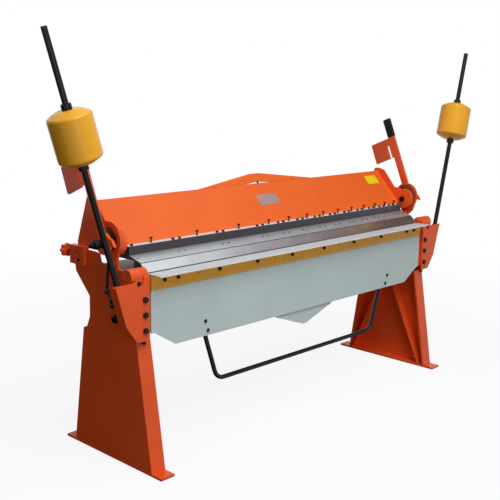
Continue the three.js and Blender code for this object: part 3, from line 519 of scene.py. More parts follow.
class BRAKE_OT_ground_pieces(bpy.types.Operator):
    """Dress the ground fingers, the bed plate and the folding blade"""
    bl_idname = "brake.ground_pieces"
    bl_label = "Ground pieces"

    def execute(self, context):
        cuts = ((spot(0, 0, FINGER_LINES["nose_rise"]), (0, 0, 1)),
                (spot(0, FINGER_LINES["knee_start"], 0), (0, 1, 0)))
        for node in FINGERS:
            finger = soften(node, "ground_steel", sizes().ground_edge, 1, GROUND_SHARP, cuts)
            finger.data.materials.append(FINISHES["ledge_steel"])
            finger.data.materials.append(FINISHES["line_steel"])
            # Ends and fine lines take the dark finish, partly painted shade; flat tops take the ledge
            # finish.
            for face in finger.data.polygons:
                face.material_index = 2 if dark_on_finger(face) else int(face.normal.z > 0.9)
        soften("folding_blade", "blade_steel", sizes().ground_edge, 1, GROUND_SHARP)
        soften("bed_top_plate", "bed_steel", sizes().ground_edge, 1, GROUND_SHARP)
        return {"FINISHED"}


class BRAKE_OT_pins(bpy.types.Operator):
    """Give the pins and the crowning screw their finishes"""
    bl_idname = "brake.pins"
    bl_label = "Pins"

    def execute(self, context):
        for stem, finish in PLAIN_NODES.items():
            for name, node in frame["nodes"].items():
                if name.startswith(stem):
                    node.data.materials.clear()
                    node.data.materials.append(FINISHES[finish])
        return {"FINISHED"}


class BRAKE_OT_clamp_bar(bpy.types.Operator):
    """Make the clamp bar with its T bolts and cap screws"""
    bl_idname = "brake.clamp_bar"
    bl_label = "Clamp bar"

    def execute(self, context):
        bar = bmesh.new()
        add_block(bar, spot(-WORK_HALF, CLAMP_BAR["front"], CLAMP_BAR["bottom"]),
                  spot(WORK_HALF, CLAMP_BAR["back"], CLAMP_BAR["top"]), sizes().ground_edge)
        piece = finish_piece("clamp_bar", bar, "clamp_beam", "dark_steel", ["finger_clamp_bar"])
        piece.data.materials.append(FINISHES["milled_steel"])
        for face in piece.data.polygons:
            face.material_index = int(face.normal.z > 0.5)
        ends = [(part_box(name)[0].x / MM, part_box(name)[1].x / MM) for name in FINGERS]
        bolts = bmesh.new()
        head = sizes().t_bolt_head / MM
        for near, far in ends:
            place = spot((near + far) / 2, T_BOLT_LINE, CLAMP_BAR["top"])
            add_turned(bolts, t_bolt_profile(head), place, (0, 0, 1), 24)
        finish_piece("t_bolts", bolts, "clamp_beam", "black_oxide")
        screws = bmesh.new()
        profile = cap_profile(sizes().cap_screw_head / MM, 8.5)
        for along in screw_places():
            add_turned(screws, profile, spot(along, SCREW_LINE, CLAMP_BAR["top"]), (0, 0, 1), 24)
        finish_piece("cap_screws", screws, "clamp_beam", "black_oxide")
        return {"FINISHED"}


def t_bolt_profile(head):
    """A clamp screw: washer, shank and a thick round head with a shallow cup on top."""
    return [(0, 22.5), (head * 0.4, 22.5), (head * 0.5, 24), (head * 0.9, 24), (head, 23), (head, 18),
            (head * 0.9, 17), (3.5, 17), (3.5, 1.6), (6.2, 1.6), (6.2, 0), (0, 0)]


def screw_places():
    """Places beside each finger joint, and inside the outer ends, in millimetres along the bed."""
    edges = [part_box(name)[0].x / MM for name in FINGERS] + [WORK_HALF]
    places = [edge + side * SCREW_OFFSET for edge in edges for side in (-1, 1)]
    return [place for place in places if abs(place) < WORK_HALF]


class BRAKE_OT_finger_screws(bpy.types.Operator):
    """Make the countersunk screws in the fingers' ledges"""
    bl_idname = "brake.finger_screws"
    bl_label = "Finger screws"

    def execute(self, context):
        screws = bmesh.new()
        profile = [(0, -3), (2.4, -3), (2.4, -0.5), (5.2, -0.5), (5.6, -0.9), (5.6, -4.1), (0, -4.1)]
        lean = math.radians(LEDGE["lean"])
        square_to_ledge = (0, -math.sin(lean), math.cos(lean))
        for along in screw_places():
            place = spot(along, LEDGE["back"], LEDGE["rise"])
            add_turned(screws, profile, place, square_to_ledge, 24)
        finish_piece("finger_screws", screws, "clamp_beam", "black_oxide")
        return {"FINISHED"}


class BRAKE_OT_folding_bar(bpy.types.Operator):
    """Make the folding bar with its bolts and grub screws"""
    bl_idname = "brake.folding_bar"
    bl_label = "Folding bar"

    def execute(self, context):
        bar = bmesh.new()
        half = FOLDING_BAR["half"]
        add_block(bar, spot(-half, FOLDING_BAR["front"], FOLDING_BAR["bottom"]),
                  spot(half, FOLDING_BAR["back"], FOLDING_BAR["top"]), sizes().plate_edge)
        finish_piece("folding_bar_dressed", bar, "folding_beam", "ochre_paint", ["folding_bar"])
        bolts = bmesh.new()
        radius = sizes().folding_bolt_head / MM
        for share in FOLDING_BOLTS["shares"]:
            for side in SIDES.values():
                place = spot(side * share * WORK_HALF, FOLDING_BAR["front"], FOLDING_BOLTS["rise"])
                add_turned(bolts, cap_profile(radius, 9), place, (0, -1, 0), 28)
        finish_piece("folding_bar_bolts", bolts, "folding_beam", "black_oxide")
        grubs = bmesh.new()
        profile = [(0, 0.1), (1.6, 0.1), (1.9, 0.5), (3.2, 0.5), (3.4, 0), (0, 0)]
        for along in GRUB_PLACES:
            for side in SIDES.values():
                place = spot(side * along, FOLDING_BAR["front"], FOLDING_BOLTS["rise"])
                add_turned(grubs, profile, place, (0, -1, 0), 20)
        finish_piece("grub_screws", grubs, "folding_beam", "black_oxide")
        return {"FINISHED"}


class BRAKE_OT_bracket_bolts(bpy.types.Operator):
    """Make the bolts, window screw and hanging screw of each bracket"""
    bl_idname = "brake.bracket_bolts"
    bl_label = "Bracket bolts"

    def execute(self, context):
        head = sizes().bracket_bolt_head / MM
        for side, sign in SIDES.items():
            bolts = bmesh.new()
            for drop in BRACKET_BOLTS["drops"]:
                place = spot(sign * BRACKET_BOLTS["along"], BRACKET["face"], -drop)
                add_turned(bolts, bracket_head_profile(head), place, (0, -1, 0), 28)
            window = spot(sign * WINDOW["along"], BRACKET["back"] + WINDOW["clear"], -WINDOW["drop"])
            add_turned(bolts, cap_profile(WINDOW["screw"], WINDOW["screw_depth"]), window, (0, -1, 0), 24)
            foot = spot(sign * HANGING_SCREW["along"], HANGING_SCREW["back"], -HANGING_SCREW["bottom"])
            add_turned(bolts, [(0, 0), (8.2, 0), (9, 1), (9, 10), (0, 10)], foot, (0, 0, 1), 6)
            add_turned(bolts, [(0, 8), (5.4, 8), (5.4, 40), (0, 40)], foot, (0, 0, 1), 24)
            finish_piece(f"bracket_bolts_{side}", bolts, "folding_beam", "black_oxide")
            pocket = bmesh.new()
            margin = WINDOW["margin"]
            reach = Vector((WINDOW["half_width"] + margin, 0, WINDOW["half_height"] + margin)) * MM
            depth = Vector((0, WINDOW["pocket_depth"], 0)) * MM
            add_block(pocket, window - reach, window + reach + depth, 0.4 * MM)
            finish_piece(f"window_pocket_{side}", pocket, "folding_beam", "stand_shaded_paint")
        return {"FINISHED"}


def rod_place(sign, rise):
    """A place on a counterweight rod's axis."""
    along = WORK_HALF + ROD["reach"] + ROD["outward"] * rise
    return spot(sign * along, ROD["back"] + ROD["rearward"] * rise, rise)


def weight_profile():
    """A cast counterweight: straight sides, rounded shoulders and shallow domed ends."""
    radius, dome = WEIGHT["radius"], WEIGHT["dome"]
    length_over_all = WEIGHT["straight"] + 2 * dome
    bore = ROD["radius"] + 0.3
    end = [(bore, 0.4), (24, 0.4), (27, 0), (48, 1.5)]
    turns = [math.radians(angle) for angle in range(0, 91, 15)]
    shoulder = 14
    rim = [(radius - shoulder + shoulder * math.sin(turn), dome - 6 + shoulder - shoulder * math.cos(turn))
           for turn in turns]
    lower = end + [(68, dome - 11.5)] + rim
    upper = [(out, length_over_all - up) for out, up in reversed(lower)]
    return lower + upper + [(bore, 0.4)], length_over_all


class BRAKE_OT_counterweights(bpy.types.Operator):
    """Make the counterweights, their rods and their collars"""
    bl_idname = "brake.counterweights"
    bl_label = "Counterweights"

    def execute(self, context):
        for side, sign in SIDES.items():
            axis = Vector((sign * ROD["outward"], ROD["rearward"], 1)).normalized()
            foot = rod_place(sign, -ROD["drop"])
            tall = (rod_place(sign, ROD["rise"]) - foot).length / MM
            rod = bmesh.new()
            radius = ROD["radius"]
            profile = [(0, 0), (radius, 0), (radius, tall - 2), (radius - 2, tall), (0, tall)]
            add_turned(rod, profile, foot, axis, 40)
            finish_piece(f"rod_{side}", rod, "folding_beam", "black_oxide", [f"weight_rod_{side}"])
            profile, tallness = weight_profile()
            centre = rod_place(sign, WEIGHT["rise"])
            weight = bmesh.new()
            add_turned(weight, profile, centre - axis * tallness / 2 * MM, axis, 96)
            finish_piece(f"weight_{side}", weight, f"weight_{side}", "ochre_paint",
                         [f"counterweight_{side}"])
            half = tallness / 2 + 0.3
            for name, start in (("upper", half), ("lower", -half - COLLAR["length"])):
                collar = bmesh.new()
                place = centre + axis * start * MM
                add_turned(collar, collar_profile(), place, axis, 40)
                middle = place + axis * COLLAR["length"] / 2 * MM
                across = axis.cross(Vector((1, 0, 0))).normalized()
                add_turned(collar, [(0, 0), (2.2, 0), (2.2, 2), (4.2, 2), (4.2, -3), (0, -3)],
                           middle + across * COLLAR["radius"] * MM, across, 16)
                finish_piece(f"collar_{name}_{side}", collar, f"weight_{side}", "black_oxide",
                             [f"{name}_collar_{side}"])
        return {"FINISHED"}


def collar_profile():
    """A clamping collar with softened rims, closed about its bore."""
    bore, radius, tall = ROD["radius"] + 0.3, COLLAR["radius"], COLLAR["length"]
    return [(bore, 0), (radius - 1.5, 0), (radius, 1.5), (radius, tall - 1.5), (radius - 1.5, tall),
            (bore, tall), (bore, 0)]


def bend(before, corner, after, tangent, steps=10):
    """Places along the arc that rounds a corner, starting a tangent's length before it."""
    inward = (before - corner).normalized()
    outward = (after - corner).normalized()
    half_angle = inward.angle(outward) / 2
    radius = tangent * math.tan(half_angle)
    middle = corner + (inward + outward).normalized() * tangent / math.cos(half_angle)
    start = corner + inward * tangent - middle
    axis = inward.cross(outward)
    sweep = math.pi - 2 * half_angle
    spread = [Matrix.Rotation(-sweep * step / steps, 4, axis) @ start for step in range(steps + 1)]
    return [middle + arm.normalized() * radius for arm in spread]


class BRAKE_OT_lift_bar(bpy.types.Operator):
    """Make the bent lift bar with its spacers and bolts"""
    bl_idname = "brake.lift_bar"
    bl_label = "Lift bar"

    def execute(self, context):
        ends = {side: spot(sign * LIFT_TOP["along"], LIFT_BAR["back"], LIFT_TOP["rise"])
                for side, sign in SIDES.items()}
        corners = {side: spot(sign * LIFT_CORNER["along"], LIFT_BAR["back"], LIFT_CORNER["rise"])
                   for side, sign in SIDES.items()}
        tangent = LIFT_BAR["tangent"] * MM
        route = [ends["right"], *bend(ends["right"], corners["right"], corners["left"], tangent),
                 *bend(corners["right"], corners["left"], ends["left"], tangent), ends["left"]]
        bar = bmesh.new()
        add_tube(bar, route, LIFT_BAR["radius"])
        finish_piece("lift_tube", bar, "folding_beam", "black_oxide", ["lift_bar"])
        fixings = bmesh.new()
        bore, reach = LIFT_BOLT["shank"], LIFT_BOLT["reach"]
        rim, tall = LIFT_BOLT["spacer"], LIFT_BOLT["spacer_length"]
        dome = dome_profile(LIFT_BOLT["head"], LIFT_BOLT["head_depth"])
        shank = [(0, 0), (bore, 0), (bore, reach), (0, reach)]
        spacer = [(bore, 0), (rim, 0), (rim, tall), (bore, tall), (bore, 0)]
        for drop in LIFT_BOLT_DROPS:
            share = (LIFT_TOP["rise"] + drop) / (LIFT_TOP["rise"] - LIFT_CORNER["rise"])
            along = LIFT_TOP["along"] + share * (LIFT_CORNER["along"] - LIFT_TOP["along"])
            for sign in SIDES.values():
                head = spot(sign * along, APRON["front"] - LIFT_BOLT["clear"], -drop)
                add_turned(fixings, dome, head, (0, -1, 0), 28)
                add_turned(fixings, shank, head, (0, 1, 0), 16)
                place = spot(sign * along, APRON["back"] + LIFT_BOLT["clear"], -drop)
                add_turned(fixings, spacer, place, (0, 1, 0), 28)
        finish_piece("lift_bar_fixings", fixings, "folding_beam", "black_oxide")
        return {"FINISHED"}


def lever_matrix(sign):
    """A lever's own frame at its hub: X outward, Y to the rear of the handle, Z up the handle."""
    place = Vector((sign * HUB.x, HUB.y, HUB.z))
    middle = (LEVER["inner"] + LEVER["outer"]) / 2 * MM
    place.x = sign * middle
    return Matrix.Translation(place) @ Matrix.Rotation(-math.radians(LEVER["lean"]), 4, "X")


class BRAKE_OT_grips(bpy.types.Operator):
    """Make the ribbed grips on the clamp levers"""
    bl_idname = "brake.grips"
    bl_label = "Lever grips"

    def execute(self, context):
        pitch = sizes().rib_pitch
        low = (LEVER["length"] + GRIP["clear"]) * MM
        high = low + GRIP["tall"] * MM
        plain_end = GRIP["plain_end"] * MM
        groove_half = GRIP["groove_half"] * MM
        for side, sign in SIDES.items():
            grip = bmesh.new()
            bmesh.ops.create_cube(grip, size=1)
            bmesh.ops.scale(grip, vec=(GRIP["thick"] * MM, GRIP["wide"] * MM, high - low), verts=grip.verts)
            bmesh.ops.translate(grip, vec=(0, 0, (low + high) / 2), verts=grip.verts)
            upright = [edge for edge in grip.edges if abs(edge.verts[0].co.z - edge.verts[1].co.z) > 0.05]
            bevel_edges(grip, upright, GRIP["corner"] * MM, 5)
            ends = [edge for edge in grip.edges if abs(edge.verts[0].co.z - edge.verts[1].co.z) < 0.001 * MM]
            bevel_edges(grip, ends, GRIP["rim"] * MM, 3)
            height = low + plain_end
            grooves = []
            while height < high - plain_end:
                for shift in (-groove_half, 0, groove_half):
                    cut_across(grip, (0, 0, height + shift), (0, 0, 1))
                grooves.append(height)
                height += pitch
            sunk = [vert for vert in grip.verts
                    if any(abs(vert.co.z - groove) < 0.1 * MM for groove in grooves)]
            bmesh.ops.scale(grip, vec=GRIP["squeeze"], verts=sunk)
            bmesh.ops.transform(grip, matrix=lever_matrix(sign), verts=grip.verts)
            finish_piece(f"grip_{side}", grip, f"lever_{side}", "black_rubber", [f"lever_grip_{side}"])
        return {"FINISHED"}


def stud_profiles():
    """Outlines of the stud's parts, each with the place it starts from and its number of steps."""
    seat = STUD["ear"] - STUD["start"]
    end = STUD["end"] - STUD["start"]
    reach = STUD["nut"] - STUD["sleeve"]
    tall = STUD["nut_depth"]
    shank = [(0, seat - 1), (12, seat - 1), (12, end - 2), (10, end), (0, end)]
    head = [(0, 5), (7.5, 5), (7.5, 0), (14.5, 0), (16, 1.5), (16, seat), (0, seat)]
    spacer = [(12, 0), (29, 0), (30, 1), (30, 18.4), (29, 19.4), (12, 19.4), (12, 0)]
    sleeve = [(12, 0), (19, 0), (19, 3), (17, 3), (17, reach), (12, reach), (12, 0)]
    nut = [(12, 0), (19.5, 0), (21, 1.5), (21, tall - 1.5), (19, tall), (12, tall), (12, 0)]
    return (("start", head, 40), ("start", shank, 32), ("spacer", spacer, 48), ("sleeve", sleeve, 40),
            ("nut", nut, 6))


class BRAKE_OT_eccentrics(bpy.types.Operator):
    """Make the eccentric discs with their studs and nuts"""
    bl_idname = "brake.eccentrics"
    bl_label = "Eccentrics"

    def execute(self, context):
        depth, core_depth = ECCENTRIC["flange_depth"], ECCENTRIC["core_depth"]
        flange, core = ECCENTRIC["flange"], ECCENTRIC["core"]
        for side, sign in SIDES.items():
            out = (sign, 0, 0)
            start = Vector((sign * ECCENTRIC["inner"] * MM, HUB.y, HUB.z + ECCENTRIC["throw"] * MM))
            disc = bmesh.new()
            add_turned(disc, [(0, 0), (flange - 1, 0), (flange, 1), (flange, depth - 1), (flange - 1, depth),
                              (core, depth), (core, core_depth), (0, core_depth)], start, out, 80)
            finish_piece(f"eccentric_disc_{side}", disc, f"lever_{side}", "brown_steel",
                         [f"eccentric_{side}"])
            stud = bmesh.new()
            for part, outline, steps in stud_profiles():
                place = Vector((sign * STUD[part] * MM, HUB.y, HUB.z))
                add_turned(stud, outline, place, out, steps)
            finish_piece(f"lever_stud_{side}", stud, f"lever_{side}", "black_oxide")
        return {"FINISHED"}


class BRAKE_OT_knobs(bpy.types.Operator):
    """Make the star knobs that set the clamping beam back"""
    bl_idname = "brake.knobs"
    bl_label = "Star knobs"

    def execute(self, context):
        for side, sign in SIDES.items():
            star = bmesh.new()
            bmesh.ops.create_circle(star, cap_ends=True, radius=KNOB["radius"] * MM,
                                    segments=KNOB["lobes"] * 12)
            for vert in star.verts:
                swell = KNOB["lobe"] * math.cos(KNOB["lobes"] * math.atan2(vert.co.y, vert.co.x))
                vert.co *= 1 + swell / KNOB["radius"]
            raised = bmesh.ops.extrude_face_region(star, geom=star.faces[:])["geom"]
            moved = [item for item in raised if isinstance(item, bmesh.types.BMVert)]
            bmesh.ops.translate(star, vec=(0, 0, KNOB["depth"] * MM), verts=moved)
            rims = [edge for edge in star.edges if edge.calc_face_angle(0) > math.radians(60)]
            bevel_edges(star, rims, 3 * MM, 3)
            bmesh.ops.recalc_face_normals(star, faces=star.faces)
            place = spot(sign * KNOB["along"], KNOB["back"], KNOB["rise"])
            bmesh.ops.transform(star, matrix=facing(place, (0, 1, 0)), verts=star.verts)
            add_turned(star, [(0, -12), (10, -12), (11, -11), (11, 1), (0, 1)], place, (0, 1, 0), 32)
            add_turned(star, [(0, 21), (12, 21), (12, 23), (9, 24.5), (0, 25)], place, (0, 1, 0), 32)
            finish_piece(f"star_knob_{side}", star, f"knob_{side}", "stand_shaded_paint", [f"setback_knob_{side}"])
            screw = bmesh.new()
            add_turned(screw, [(0, -71), (6, -71), (6, -11), (0, -11)], place, (0, 1, 0), 28)
            finish_piece(f"setback_screw_{side}", screw, f"knob_{side}", "black_oxide")
        return {"FINISHED"}


class BRAKE_OT_angle_stop(bpy.types.Operator):
    """Make the angle stop, the stop bolt below it and the rear blocks' bolts"""
    bl_idname = "brake.angle_stop"
    bl_label = "Angle stop"

    def execute(self, context):
        pivot = STOP_PIVOT
        ball = pivot + Vector(STOP["ball"]) * MM
        tip = pivot + Vector(STOP["tip"]) * MM
        yoke = pivot + Vector((0, 0, STOP["above"] - 4)) * MM
        stop = bmesh.new()
        add_tube(stop, [ball, tip], STOP["rod"], 24)
        add_tube(stop, [yoke, ball], STOP["rod"] + 2, 24)
        fresh = bmesh.new()
        bmesh.ops.create_uvsphere(fresh, u_segments=32, v_segments=20, radius=STOP["ball_radius"] * MM,
                                  matrix=Matrix.Translation(ball))
        absorb(stop, fresh)
        wide, half = STOP["width"] / 2, STOP["half"]
        add_block(stop, pivot + Vector((-wide, -half, -STOP["below"])) * MM,
                  pivot + Vector((wide, half, STOP["above"])) * MM, 2 * MM)
        boss, inner = STOP["boss"], STOP["boss_start"]
        add_turned(stop, [(0, 0), (boss, 0), (boss, inner + 14), (boss - 2, inner + 16), (0, inner + 16)],
                   pivot + Vector((inner, 0, 0)) * MM, (-1, 0, 0), 32)
        finish_piece("angle_stop_rod", stop, "angle_stop", "black_oxide", ["angle_stop"])
        bolts = bmesh.new()
        big = spot(STOP_BOLT["along"], STOP_BOLT["back"], STOP_BOLT["rise"])
        radius, depth = STOP_BOLT["radius"], STOP_BOLT["depth"]
        add_turned(bolts, [(0, 0), (radius, 0), (radius, 2), (0, 2)], big, (-1, 0, 0), 40)
        head = [(0, 2), (radius - 1, 2), (radius - 1, depth - 2), (radius - 3, depth), (0, depth)]
        add_turned(bolts, head, big, (-1, 0, 0), 6)
        finish_piece("stop_bolt", bolts, "root", "black_oxide")
        for side, sign in SIDES.items():
            fixing = bmesh.new()
            place = spot(sign * BLOCK_BOLT["along"], BLOCK_BOLT["back"], BLOCK_BOLT["rise"])
            head = dome_profile(BLOCK_BOLT["radius"], BLOCK_BOLT["depth"])
            add_turned(fixing, head, place, (sign, 0, 0), 28)
            finish_piece(f"block_bolt_{side}", fixing, f"block_{side}", "black_oxide")
        return {"FINISHED"}


LABELS = {
    "data_plate": {"along": 0, "up": 140, "finish": "foil"},
    "sticker": {"along": 943, "up": 185, "finish": "vinyl"},
}
LABEL_SHEET = {"thick": 0.6, "lift": 0.5, "corner": 4}


def add_label(name, wide, tall):
    """A thin blank plate on the slope of the clamping beam's front plate."""
    label = LABELS[name]
    slope = Vector((0, FRONT_PLATE["lean_back"], FRONT_PLATE["lean_up"]))
    normal = Vector((0, -FRONT_PLATE["lean_up"], FRONT_PLATE["lean_back"]))
    plate = bmesh.new()
    bmesh.ops.create_cube(plate, size=1)
    bmesh.ops.scale(plate, vec=(wide, tall, LABEL_SHEET["thick"] * MM), verts=plate.verts)
    corners = [edge for edge in plate.edges if abs(edge.verts[0].co.z - edge.verts[1].co.z) > 0.1 * MM]
    bevel_edges(plate, corners, LABEL_SHEET["corner"] * MM, 4)
    foot = spot(0, FRONT_PLATE["back"], FRONT_PLATE["rise"])
    turn = Matrix((Vector((1, 0, 0)), slope, normal)).transposed().to_4x4()
    along = Vector((label["along"], 0, 0))
    place = foot + along * MM + slope * label["up"] * MM + normal * LABEL_SHEET["lift"] * MM
    bmesh.ops.transform(plate, matrix=Matrix.Translation(place) @ turn, verts=plate.verts)
    finish_piece(name, plate, "clamp_beam", label["finish"])


class BRAKE_OT_labels(bpy.types.Operator):
    """Make the two blank plates on the clamping beam"""
    bl_idname = "brake.labels"
    bl_label = "Blank plates"

    def execute(self, context):
        add_label("data_plate", sizes().plate_width, sizes().plate_height)
        add_label("sticker", sizes().sticker_width, sizes().sticker_height)
        return {"FINISHED"}


# Studio

CAMERA = {"place": (-3.2804, -2.9452, 1.6499), "yaw": 46.23, "pitch": 10.87, "roll": 0.73,
          "focal_share": 1.726}
# The world's light on the object, and the floor's distances in metres and share of pure white
FILL = 0.2
FADE = {"start": 1.6, "end": 4.5, "share": 0.9}
LAMPS = {
    "key": {"place": (-0.6, -2.5, 4.8), "target": (0, 0, 0.9), "size": 3.0, "watts": 165},
    "front_fill": {"place": (-2.5, -5.5, 1.6), "target": (0, 0, 0.8), "size": 3.0, "watts": 52},
}
# Glowing cards that show in reflections alone, as painted reflections: half sizes and middles in metres,
# shades by place along the bed
CARDS = {
    "overhead_card": {
        "paper": "brown_painted_reflection_card", "span": (2.8, 2.9), "middle": (4.4, 0.5, 3.6),
        "shades": ((1.6, "#F4F4F6"), (2.61, "#B5A8AE"), (4.13, "#7A5850"), (6.2, "#4A2E26")),
    },
    "floor_card": {
        "paper": "dark_painted_reflection_card", "span": (3.4, 3.3), "middle": (-2.4, 2.95, 0.002),
        "shades": ((-5.8, "#2A1C18"), (1.0, "#2A1C18")),
    },
}


def camera_matrix():
    """The photograph's viewpoint: turned from the rear toward the right, tipped down and rolled a little."""
    yaw, pitch, roll = (math.radians(CAMERA[name]) for name in ("yaw", "pitch", "roll"))
    ahead = Vector((math.sin(yaw) * math.cos(pitch), math.cos(yaw) * math.cos(pitch), -math.sin(pitch)))
    across = Vector((math.cos(yaw), -math.sin(yaw), 0))
    up = across.cross(ahead)
    right = across * math.cos(roll) + up * math.sin(roll)
    upright = up * math.cos(roll) - across * math.sin(roll)
    turn = Matrix((right, upright, -ahead)).transposed().to_4x4()
    return Matrix.Translation(CAMERA["place"]) @ turn


def add_softbox(name, place, target, size, watts):
    """A square soft lamp that looks at a target."""
    lamp = bpy.data.lights.new(name, "AREA")
    lamp.shape = "SQUARE"
    lamp.size = size
    lamp.energy = watts
    holder = bpy.data.objects.new(name, lamp)
    bpy.context.scene.collection.objects.link(holder)
    turn = (Vector(target) - Vector(place)).to_track_quat("-Z", "Y").to_matrix().to_4x4()
    holder.matrix_world = Matrix.Translation(place) @ turn


def seen_rays(tree):
    """1 for rays from the camera and for mirror and glass rays, which all show the pale background."""
    path = add_node(tree, "ShaderNodeLightPath")
    either = add_node(tree, "ShaderNodeMath", {"operation": "MAXIMUM"})
    tree.links.new(path.outputs["Is Camera Ray"], either.inputs[0])
    tree.links.new(path.outputs["Is Glossy Ray"], either.inputs[1])
    every = add_node(tree, "ShaderNodeMath", {"operation": "MAXIMUM"})
    tree.links.new(either.outputs["Value"], every.inputs[0])
    tree.links.new(path.outputs["Is Transmission Ray"], every.inputs[1])
    return every.outputs["Value"]


def make_world():
    """White to the camera and in reflections, and a low even light on everything else."""
    world = bpy.data.worlds.new("studio")
    bpy.context.scene.world = world
    world.use_nodes = True
    tree = world.node_tree
    tree.nodes.clear()
    strength = add_node(tree, "ShaderNodeMapRange", {"To Min": FILL, "To Max": 1},
                        {"Value": seen_rays(tree)})
    light = add_node(tree, "ShaderNodeBackground", {"Color": (1, 1, 1, 1)},
                     {"Strength": strength.outputs["Result"]})
    add_node(tree, "ShaderNodeOutputWorld", links={"Surface": light.outputs["Background"]})


def make_floor():
    """A pale floor that keeps a faint shadow of the machine and fades to white a few metres away."""
    bm = bmesh.new()
    bmesh.ops.create_grid(bm, x_segments=1, y_segments=1, size=30)
    mesh = bpy.data.meshes.new("floor")
    bm.to_mesh(mesh)
    bm.free()
    material = bpy.data.materials.new("white_paper_floor")
    material.use_nodes = True
    tree = material.node_tree
    tree.nodes.clear()
    seen = seen_rays(tree)
    place = add_node(tree, "ShaderNodeTexCoord")
    reach = add_node(tree, "ShaderNodeVectorMath", {"operation": "LENGTH"},
                     {"Vector": place.outputs["Object"]})
    fade = add_node(tree, "ShaderNodeMapRange", {
        "From Min": FADE["start"], "From Max": FADE["end"], "To Min": FADE["share"], "To Max": 1,
    }, {"Value": reach.outputs["Value"]})
    share = add_node(tree, "ShaderNodeMath", {"operation": "MULTIPLY"})
    tree.links.new(seen, share.inputs[0])
    tree.links.new(fade.outputs["Result"], share.inputs[1])
    tone = add_node(tree, "ShaderNodeMapRange", {"To Min": FILL, "To Max": FADE["share"]}, {"Value": seen})
    paper = add_node(tree, "ShaderNodeBsdfDiffuse", links={"Color": tone.outputs["Result"]})
    glow = add_node(tree, "ShaderNodeEmission", {"Color": (1, 1, 1, 1), "Strength": 1})
    mixed = add_node(tree, "ShaderNodeMixShader", links={"Fac": share.outputs["Value"]})
    tree.links.new(paper.outputs["BSDF"], mixed.inputs[1])
    tree.links.new(glow.outputs["Emission"], mixed.inputs[2])
    add_node(tree, "ShaderNodeOutputMaterial", links={"Surface": mixed.outputs["Shader"]})
    mesh.materials.append(material)
    floor = bpy.data.objects.new("floor", mesh)
    bpy.context.scene.collection.objects.link(floor)


def add_card(name, material, span, middle):
    """A level glowing card that shows in reflections alone: a painted reflection."""
    bm = bmesh.new()
    bmesh.ops.create_grid(bm, x_segments=1, y_segments=1, size=1)
    bmesh.ops.scale(bm, vec=(*span, 1), verts=bm.verts)
    bmesh.ops.translate(bm, vec=middle, verts=bm.verts)
    mesh = bpy.data.meshes.new(name)
    bm.to_mesh(mesh)
    bm.free()
    mesh.materials.append(material)
    card = bpy.data.objects.new(name, mesh)
    card.visible_camera = card.visible_diffuse = card.visible_shadow = card.visible_transmission = False
    bpy.context.scene.collection.objects.link(card)


def card_paper(name, stops):
    """Glowing paper for a painted reflection, in the shades of its stops, given as places in metres along
    the bed.
    """
    material = bpy.data.materials.new(name)
    material.use_nodes = True
    tree = material.node_tree
    tree.nodes.clear()
    place = add_node(tree, "ShaderNodeTexCoord")
    along = add_node(tree, "ShaderNodeSeparateXYZ", links={"Vector": place.outputs["Object"]})
    near, far = stops[0][0], stops[-1][0]
    share = add_node(tree, "ShaderNodeMapRange", {"From Min": near, "From Max": far},
                     {"Value": along.outputs["X"]})
    ramp = add_node(tree, "ShaderNodeValToRGB", links={"Fac": share.outputs["Result"]})
    ramp.color_ramp.elements[0].color = [*linear(stops[0][1]), 1]
    ramp.color_ramp.elements[1].color = [*linear(stops[-1][1]), 1]
    for reach, code in stops[1:-1]:
        ramp.color_ramp.elements.new((reach - near) / (far - near)).color = [*linear(code), 1]
    glow = add_node(tree, "ShaderNodeEmission", {"Strength": 1}, {"Color": ramp.outputs["Color"]})
    add_node(tree, "ShaderNodeOutputMaterial", links={"Surface": glow.outputs["Emission"]})
    return material


def make_cards():
    """Painted reflections: a brown card overhead to the right for the fingers, and a dark one on the floor
    behind the apron.
    """
    for name, card in CARDS.items():
        add_card(name, card_paper(card["paper"], card["shades"]), card["span"], card["middle"])


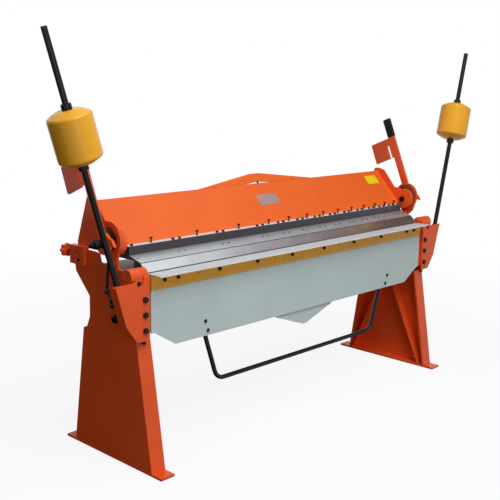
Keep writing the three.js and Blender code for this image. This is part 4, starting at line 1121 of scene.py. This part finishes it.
class BRAKE_OT_stage(bpy.types.Operator):
    """Set up the camera, the lamps, the world and the floor"""
    bl_idname = "brake.stage"
    bl_label = "Studio"

    def execute(self, context):
        lens = bpy.data.cameras.new("camera")
        lens.sensor_width = 36
        lens.lens = lens.sensor_width * CAMERA["focal_share"]
        lens.clip_end = 100
        camera = bpy.data.objects.new("camera", lens)
        camera.matrix_world = camera_matrix()
        context.scene.collection.objects.link(camera)
        context.scene.camera = camera
        context.scene.view_settings.view_transform = "Standard"
        for name, lamp in LAMPS.items():
            add_softbox(name, lamp["place"], lamp["target"], lamp["size"], lamp["watts"])
        make_world()
        make_floor()
        make_cards()
        return {"FINISHED"}


OPERATORS = (
    BRAKE_OT_stage, BRAKE_OT_plates, BRAKE_OT_ground_pieces, BRAKE_OT_pins, BRAKE_OT_clamp_bar,
    BRAKE_OT_finger_screws, BRAKE_OT_folding_bar, BRAKE_OT_bracket_bolts, BRAKE_OT_counterweights,
    BRAKE_OT_lift_bar, BRAKE_OT_grips, BRAKE_OT_eccentrics, BRAKE_OT_knobs, BRAKE_OT_angle_stop,
    BRAKE_OT_labels,
)


class BRAKE_PT_panel(bpy.types.Panel):
    """Lists the pieces of the sheet metal brake and the values that shape them"""
    bl_idname = "BRAKE_PT_panel"
    bl_label = "Sheet metal brake"
    bl_space_type = "VIEW_3D"
    bl_region_type = "UI"
    bl_category = "Brake"

    def draw(self, context):
        for group in (sizes(), colours()):
            for name in group.bl_rna.properties.keys():
                if name not in ("rna_type", "name"):
                    self.layout.prop(group, name)
        for operator in OPERATORS:
            self.layout.operator(operator.bl_idname)


CLASSES = (BrakeSizes, BrakeColours, *OPERATORS, BRAKE_PT_panel)


def register():
    for item in CLASSES:
        bpy.utils.register_class(item)
    bpy.types.Scene.brake_sizes = PointerProperty(type=BrakeSizes)
    bpy.types.Scene.brake_colours = PointerProperty(type=BrakeColours)


def unregister():
    del bpy.types.Scene.brake_colours
    del bpy.types.Scene.brake_sizes
    for item in reversed(CLASSES):
        bpy.utils.unregister_class(item)


def main():
    register()
    FINISHES.update(make_finishes())
    for operator in OPERATORS:
        family, name = operator.bl_idname.split(".")
        getattr(getattr(bpy.ops, family), name)()


if __name__ == "__main__":
    main()
